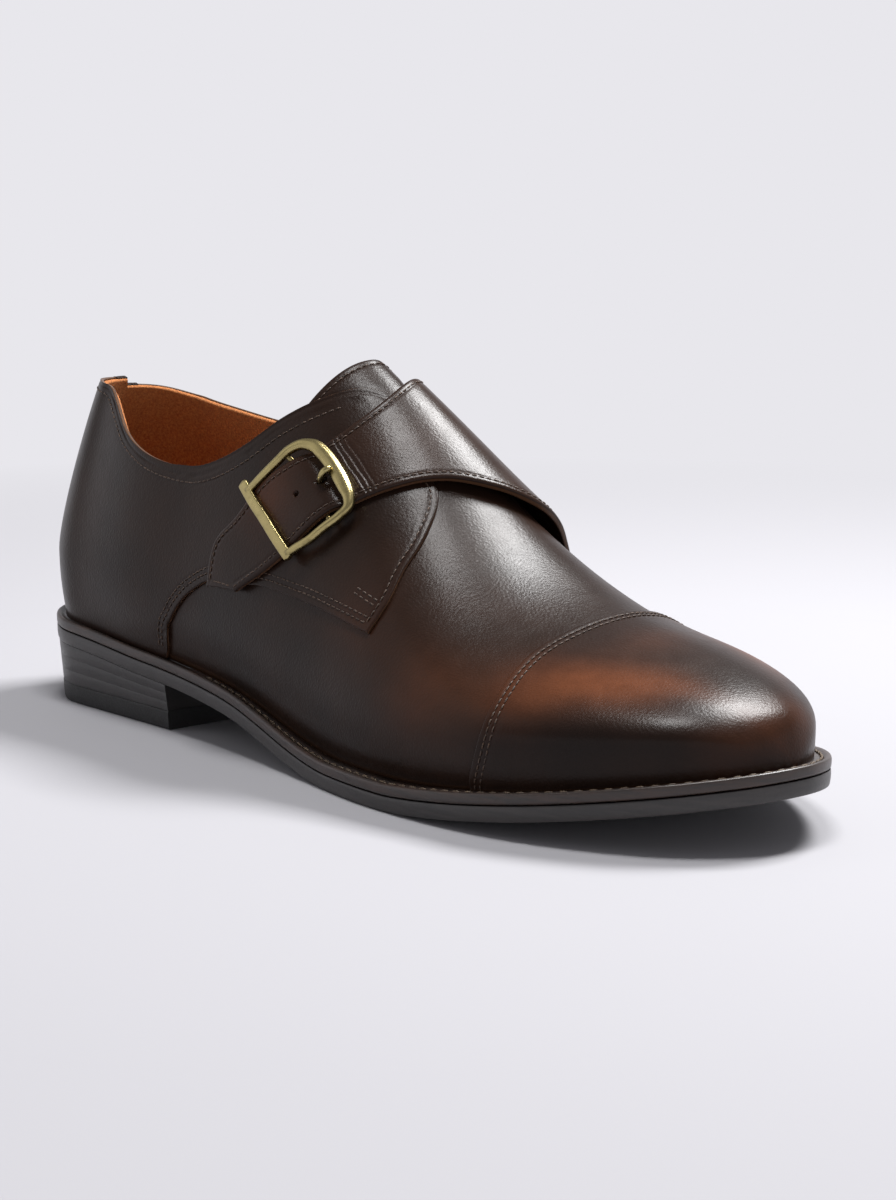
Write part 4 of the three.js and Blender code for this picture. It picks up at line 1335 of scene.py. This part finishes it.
def sections_across(insets, heights, x_limit):
    """Closed sections across the bottom of the shoe, heel to toe. heights gives z down the edge."""
    k = np.concatenate(
        (np.linspace(0, 4, 50), np.linspace(4, 16.5, 110)[1:], np.linspace(16.5, TOE_K, 50)[1:])
    )
    if x_limit:
        k = k[k < float(k_at(x_limit)) + 0.35]
    sides = []
    for side in (-1.0, 1.0):
        p = last_point(k, np.full_like(k, side))
        flow = last_point(np.minimum(k + 0.02, TOE_K), side) - last_point(np.maximum(k - 0.02, 0), side)
        flow[0] = (0, side, 0)
        flow[-1] = (0, -side, 0)
        outward = unit(np.column_stack((flow[:, 1], -flow[:, 0], np.zeros(len(k))))) * (-side)
        sides.append((p, outward, through(MARGIN, p[:, 0])))
    loops = []
    lanes = np.linspace(0, 1, 14)[1:-1]
    for n in range(len(k)):
        down = []
        for p, outward, edge in sides:
            q = p[n] + outward[n] * (edge[n] - insets(p[n, 0] + outward[n, 0] * edge[n]))[:, None]
            if x_limit:
                q[:, 0] = np.minimum(q[:, 0], x_limit)
            q[:, 2] = heights(q[:, 0])
            down.append(q)
        outer, inner = down
        under = [lerp(outer[-1], inner[-1], f) for f in lanes]
        over = [lerp(inner[0], outer[0], f) for f in lanes]
        loops.append(np.vstack((outer, under, inner[::-1], over)))
    return np.array(loops)


def bottom_piece(name, node, insets, heights, material, x_limit=None):
    """A flat piece under the last. insets gives how far its edge lies inside the welt's, at x."""
    loops = sections_across(insets, heights, x_limit)
    if x_limit:
        before = loops[:-1, :, 0].min(axis=1) < x_limit - 1e-6
        loops = loops[np.concatenate(([True], before))]
    rows, count = loops.shape[:2]
    quads = np.array(tube(loops, False)[: (rows - 1) * count])
    points = loops.reshape(-1, 3)
    first, faces = welded(points, quads)
    points = points[first]
    if x_limit:
        index = {tuple(np.round(p, 3)): n for n, p in enumerate(points)}
        cap = [index[tuple(np.round(p, 3))] for p in loops[-1]]
        cap = [v for n, v in enumerate(cap) if v != cap[n - 1]]
        faces.append(list(reversed(cap)))
    made = make_object(name, points, faces, material)
    made.data.set_sharp_from_angle(angle=math.radians(35))
    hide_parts(node)
    return made


def sole():
    shares = np.array((0.0, 0.03, 0.1, 0.3, 0.6, 0.88, 0.97, 1.0))
    inset = np.array((0.3, 0.16, 0.08, 0.05, 0.12, 0.3, 0.5, 0.95))
    top = WELT_THICK + 0.15

    def heights(x):
        return seat_z(x) - top - shares * (SOLE_EDGE - top)

    return bottom_piece("sole", "outsole", lambda x: inset, heights, SOLE_SIDE)


def heel():
    """The heel's stacked lifts, with a fine line between each two."""
    lifts = 3
    rows = [
        ((n + share) / lifts, 0.6 + 1.1 * (n + share) / lifts + cut)
        for n in range(lifts)
        for share, cut in ((0.0, 0.1), (0.05, 0.02), (0.5, -0.01), (0.95, 0.02))
    ]
    shares, inset = np.array(rows + [(1.0, 1.85)]).T

    def heights(x):
        return lerp(seat_z(x) - SOLE_EDGE - 0.1, LIFT_THICK + 0.05, shares)

    return bottom_piece(
        "heel_stack", "heel_block", lambda x: inset, heights, HEEL_SIDE, HEEL_BREAST_X
    )


def top_lift():
    shares = np.array((0.0, 0.04, 0.12, 0.5, 0.88, 0.97, 1.0))
    inset = np.array((1.95, 1.75, 1.68, 1.78, 1.95, 2.1, 2.5))

    def heights(x):
        return (1 - shares) * (LIFT_THICK - 0.05)

    return bottom_piece("heel_lift", "top_lift", lambda x: inset, heights, RUBBER, HEEL_BREAST_X)


def sock():
    inset = np.array((3.9, 3.5, 3.2, 3.2))
    levels = np.array((INSOLE_THICK, INSOLE_THICK - 0.15, INSOLE_THICK - 0.6, 0.2))

    def insets(x):
        return inset + through(MARGIN, x)

    def heights(x):
        return seat_z(x) + levels

    return bottom_piece("insole_sock", "insole", insets, heights, SOCK)


# ---- the buckle ----
def band_point(row, f, height):
    k, w = band_place(np.array([row]), np.array([f]))
    return on_last(k, w, np.array([height]))[0]


# The bars of the buckle, along their middles: x, w, height over the last, half width, half height.
BUCKLE_ROUND = (
    (123.9, -0.491, 4.7, 1.15, 1.1), (128.2, -0.437, 4.9, 1.2, 1.15), (132.0, -0.385, 5.0, 1.3, 1.2),
    (134.7, -0.345, 5.1, 1.35, 1.25), (138.8, -0.312, 5.2, 1.6, 1.35), (142.7, -0.3, 5.3, 2.0, 1.45),
    (146.8, -0.302, 5.3, 2.2, 1.5), (151.6, -0.312, 5.3, 2.2, 1.5), (157.3, -0.332, 5.1, 2.1, 1.45),
    (159.4, -0.342, 4.9, 1.8, 1.4), (160.9, -0.365, 4.7, 1.45, 1.3), (159.8, -0.395, 4.6, 1.35, 1.25),
    (156.7, -0.442, 4.6, 1.3, 1.2), (153.1, -0.492, 4.6, 1.25, 1.15), (148.9, -0.532, 4.6, 1.2, 1.1),
    (146.9, -0.553, 4.6, 1.15, 1.1),
)
BUCKLE_REAR = (
    (120.4, -0.48, 4.4, 1.65, 1.0), (127.3, -0.502, 4.8, 1.65, 1.05), (134.4, -0.52, 5.0, 1.65, 1.05),
    (141.2, -0.54, 4.8, 1.65, 1.05), (148.0, -0.558, 4.4, 1.65, 1.0),
)
BUCKLE_MIDDLE = (
    (134.6, -0.362, 4.6, 0.8, 0.8), (137.0, -0.368, 2.6, 0.8, 0.8), (141.0, -0.376, 2.2, 0.8, 0.8),
    (150.0, -0.398, 2.2, 0.8, 0.8), (154.0, -0.408, 2.6, 0.8, 0.8), (157.0, -0.42, 4.4, 0.8, 0.8),
)
# The pin on the front bar, and its tip: x, w, height.
PIN_OVER = (150.2, -0.337, 7.2)
PIN_TIP = (151.6, -0.316, 7.4)


def place_point(x, w, height):
    return on_last(k_at(x), w, height)


def bar_line(rows, count):
    """A smooth line through the rows of a bar: its points, normals, half widths and half heights."""
    rows = np.array(rows)
    k = k_at(rows[:, 0])
    points = on_last(k, rows[:, 1], rows[:, 2])
    s = run_length(points)
    at = np.linspace(0, s[-1], count)
    columns = np.column_stack((points, last_normal(k, rows[:, 1]), rows[:, 3:]))
    smooth = np.column_stack([through(np.column_stack((s, column)), at) for column in columns.T])
    return smooth[:, :3], unit(smooth[:, 3:6]), smooth[:, 6], smooth[:, 7]


def bar(line, normals, wide, high, square, sides=20):
    """A bar along a line with a superellipse section; wide and high are its half sizes."""
    ahead = unit(np.gradient(line, axis=0))
    out = unit(np.cross(ahead, normals))
    up = np.cross(out, ahead)
    angles = np.linspace(0, 2 * math.pi, sides, endpoint=False)
    c, s = np.cos(angles), np.sin(angles)
    power = 2 / square
    shape_c, shape_s = np.sign(c) * np.abs(c) ** power, np.sign(s) * np.abs(s) ** power
    loops = (
        line[:, None]
        + out[:, None] * (wide[:, None] * shape_c)[..., None]
        + up[:, None] * (high[:, None] * shape_s)[..., None]
    )
    worn = np.tile(np.clip(shape_s, 0, 1) ** 2, len(line))
    return loops.reshape(-1, 3), tube(loops, False), worn


def buckle():
    """The buckle's frame: a round bar with a split, a flat rear bar and a thin middle bar."""
    line, normals, wide, high = bar_line(BUCKLE_ROUND, 130)
    corner = place_point(161.1, -0.36, 6.0)
    split = 0.35 * np.exp(-((np.linalg.norm(line - corner, axis=1) / 0.45) ** 2))
    points, faces, worn = bar(line, normals, wide - split, high - split, 2.5)
    made = make_object("buckle_frame_round", points, faces, BRASS, worn=worn)
    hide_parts("buckle_frame")
    line, normals, wide, high = bar_line(BUCKLE_REAR, 60)
    from_end = np.minimum(run_length(line), run_length(line)[::-1].max() - run_length(line))
    ends = np.sqrt(np.clip(from_end / 0.6, 0.12, 1))
    points, faces, worn = bar(line, normals, wide * ends, high * (0.5 + 0.5 * ends), 5.0, 28)
    keeper = make_object("buckle_rear_bar", points, faces, BRASS, worn=worn)
    points, faces, worn = bar(*bar_line(BUCKLE_MIDDLE, 50), 2.0, 14)
    pivot = make_object("buckle_middle_bar", points, faces, BRASS, worn=0.0)


def prong():
    """The buckle's pin, out of the strap's hole and over the front bar."""
    row, f, _ = PRONG_HOLE
    face = float(band_height(np.array(row), np.array(f)))
    control = np.array(
        (
            band_point(row + 0.1, f, face - 1.6),
            band_point(row, f, face + 0.7),
            place_point(*PIN_OVER),
            place_point(*PIN_TIP),
        )
    )
    s = run_length(control)
    at = np.linspace(0, s[-1], 30)
    line = np.column_stack([through(np.column_stack((s, control[:, n])), at) for n in range(3)])
    radius = 1.1 * np.interp(at / s[-1], (0, 0.3, 0.85, 0.95, 1.0), (0.95, 1.0, 0.92, 0.75, 0.3))
    normals = np.broadcast_to(last_normal(k_at(PIN_OVER[0]), PIN_OVER[1]), line.shape)
    points, faces, worn = bar(line, normals, radius, 0.9 * radius, 2.2, 16)
    made = make_object("buckle_tongue_pin", points, faces, BRASS, worn=worn)
    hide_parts("buckle_prong")


# ---- floor, light and camera ----
BACKDROP = rgb(232, 231, 236)


def studio():
    """A pale floor and backdrop, with three soft lights."""
    mesh = bpy.data.meshes.new("floor")
    points = [(x, y, 0.0) for x in (-12, 12) for y in (-12, 12)]
    mesh.from_pydata(points, [], [(0, 2, 3, 1)])
    floor = bpy.data.objects.new("floor", mesh)
    bpy.context.scene.collection.objects.link(floor)
    n = Nodes("pale_floor")
    far = n.add("ShaderNodeVectorMath", operation="LENGTH")
    n.link(n.place, far.inputs[0])
    n.set(Base_Color=rgb(161, 160, 164), Roughness=0.75)
    n.shader.inputs["Specular IOR Level"].default_value = 0.2
    glow = n.add("ShaderNodeEmission")
    glow.inputs["Color"].default_value = BACKDROP
    mix = n.add("ShaderNodeMixShader")
    n.link(n.span(far.outputs["Value"], 0.28, 0.75), mix.inputs[0])
    n.link(n.shader.outputs[0], mix.inputs[1])
    n.link(glow.outputs[0], mix.inputs[2])
    n.link(mix.outputs[0], n.tree.nodes["Material Output"].inputs["Surface"])
    mesh.materials.append(n.material)

    turns = np.linspace(0, 2 * math.pi, 96, endpoint=False)
    ring = [(9 * math.cos(a), 9 * math.sin(a), z) for z in (-0.02, 3.2) for a in turns]
    walls = [(i, (i + 1) % 96, 96 + (i + 1) % 96, 96 + i) for i in range(96)]
    mesh = bpy.data.meshes.new("backdrop")
    mesh.from_pydata(ring, [], walls)
    backdrop = bpy.data.objects.new("backdrop", mesh)
    bpy.context.scene.collection.objects.link(backdrop)
    n = Nodes("pale_backdrop")
    glow = n.add("ShaderNodeEmission")
    glow.inputs["Color"].default_value = BACKDROP
    n.link(glow.outputs[0], n.tree.nodes["Material Output"].inputs["Surface"])
    mesh.materials.append(n.material)

    world = bpy.data.worlds.new("studio")
    world.use_nodes = True
    back = world.node_tree.nodes["Background"]
    back.inputs["Color"].default_value = BACKDROP
    back.inputs["Strength"].default_value = 0.32
    bpy.context.scene.world = world
    bpy.context.scene.view_settings.view_transform = "Standard"

    def softbox(name, place, target, width, height, watts):
        light = bpy.data.lights.new(name, "AREA")
        light.shape = "RECTANGLE"
        light.size, light.size_y, light.energy = width, height, watts
        lamp = bpy.data.objects.new(name, light)
        bpy.context.scene.collection.objects.link(lamp)
        lamp.location = place
        lamp.rotation_mode = "QUATERNION"
        lamp.rotation_quaternion = (Vector(target) - Vector(place)).to_track_quat("-Z", "Y")

    softbox("strap_softbox", (0.1, -0.06, 1.25), (0.0, 0.0, 0.05), 0.34, 0.28, 12.0)
    softbox("toe_softbox", (0.08, 0.64, 1.06), (0.05, 0.0, 0.05), 0.42, 0.32, 25.0)
    softbox("side_softbox", (-0.9, -0.9, 0.9), (0.0, 0.0, 0.05), 0.9, 0.9, 1.5)


def camera():
    """The photograph's angle, from the front on the outer side."""
    azimuth, elevation = math.radians(49.1), math.radians(12.77)
    level = math.cos(elevation)
    back = Vector((math.sin(azimuth) * level, -math.cos(azimuth) * level, math.sin(elevation)))
    middle = Vector(((150 + ROW_SHIFT[0]) / 1000, ROW_SHIFT[1] / 1000, 0.0))
    eye = middle + back * 0.804
    aim = Vector((0.003, 0.014, 0.044))
    data = bpy.data.cameras.new("camera")
    data.lens = 82.0
    data.sensor_width = 36.0
    data.clip_start, data.clip_end = 0.02, 100.0
    made = bpy.data.objects.new("camera", data)
    bpy.context.scene.collection.objects.link(made)
    made.location = eye
    made.rotation_mode = "QUATERNION"
    made.rotation_quaternion = (aim - eye).to_track_quat("-Z", "Y")
    bpy.context.scene.camera = made


# The CAD's welt gives how far the row frame is from the last's own frame.
feather, feather_out = feather_loop()
welt_edge = feather + feather_out * through(MARGIN, feather[:, 0])[:, None]
ROW_SHIFT = np.array(
    (WELT_LOW.x * 1000 - welt_edge[:, 0].min(), WELT_LOW.y * 1000 - welt_edge[:, 1].min(), 0.0)
)

vamp()
toe_cap()
outer_quarter()
inner_quarter_and_strap()
backstay()
lining()
vamp_lining()
tongue()
welt()
sole()
heel()
top_lift()
sock()
buckle()
prong()
fine_stitches.build()
welt_stitches.build()
studio()
camera()
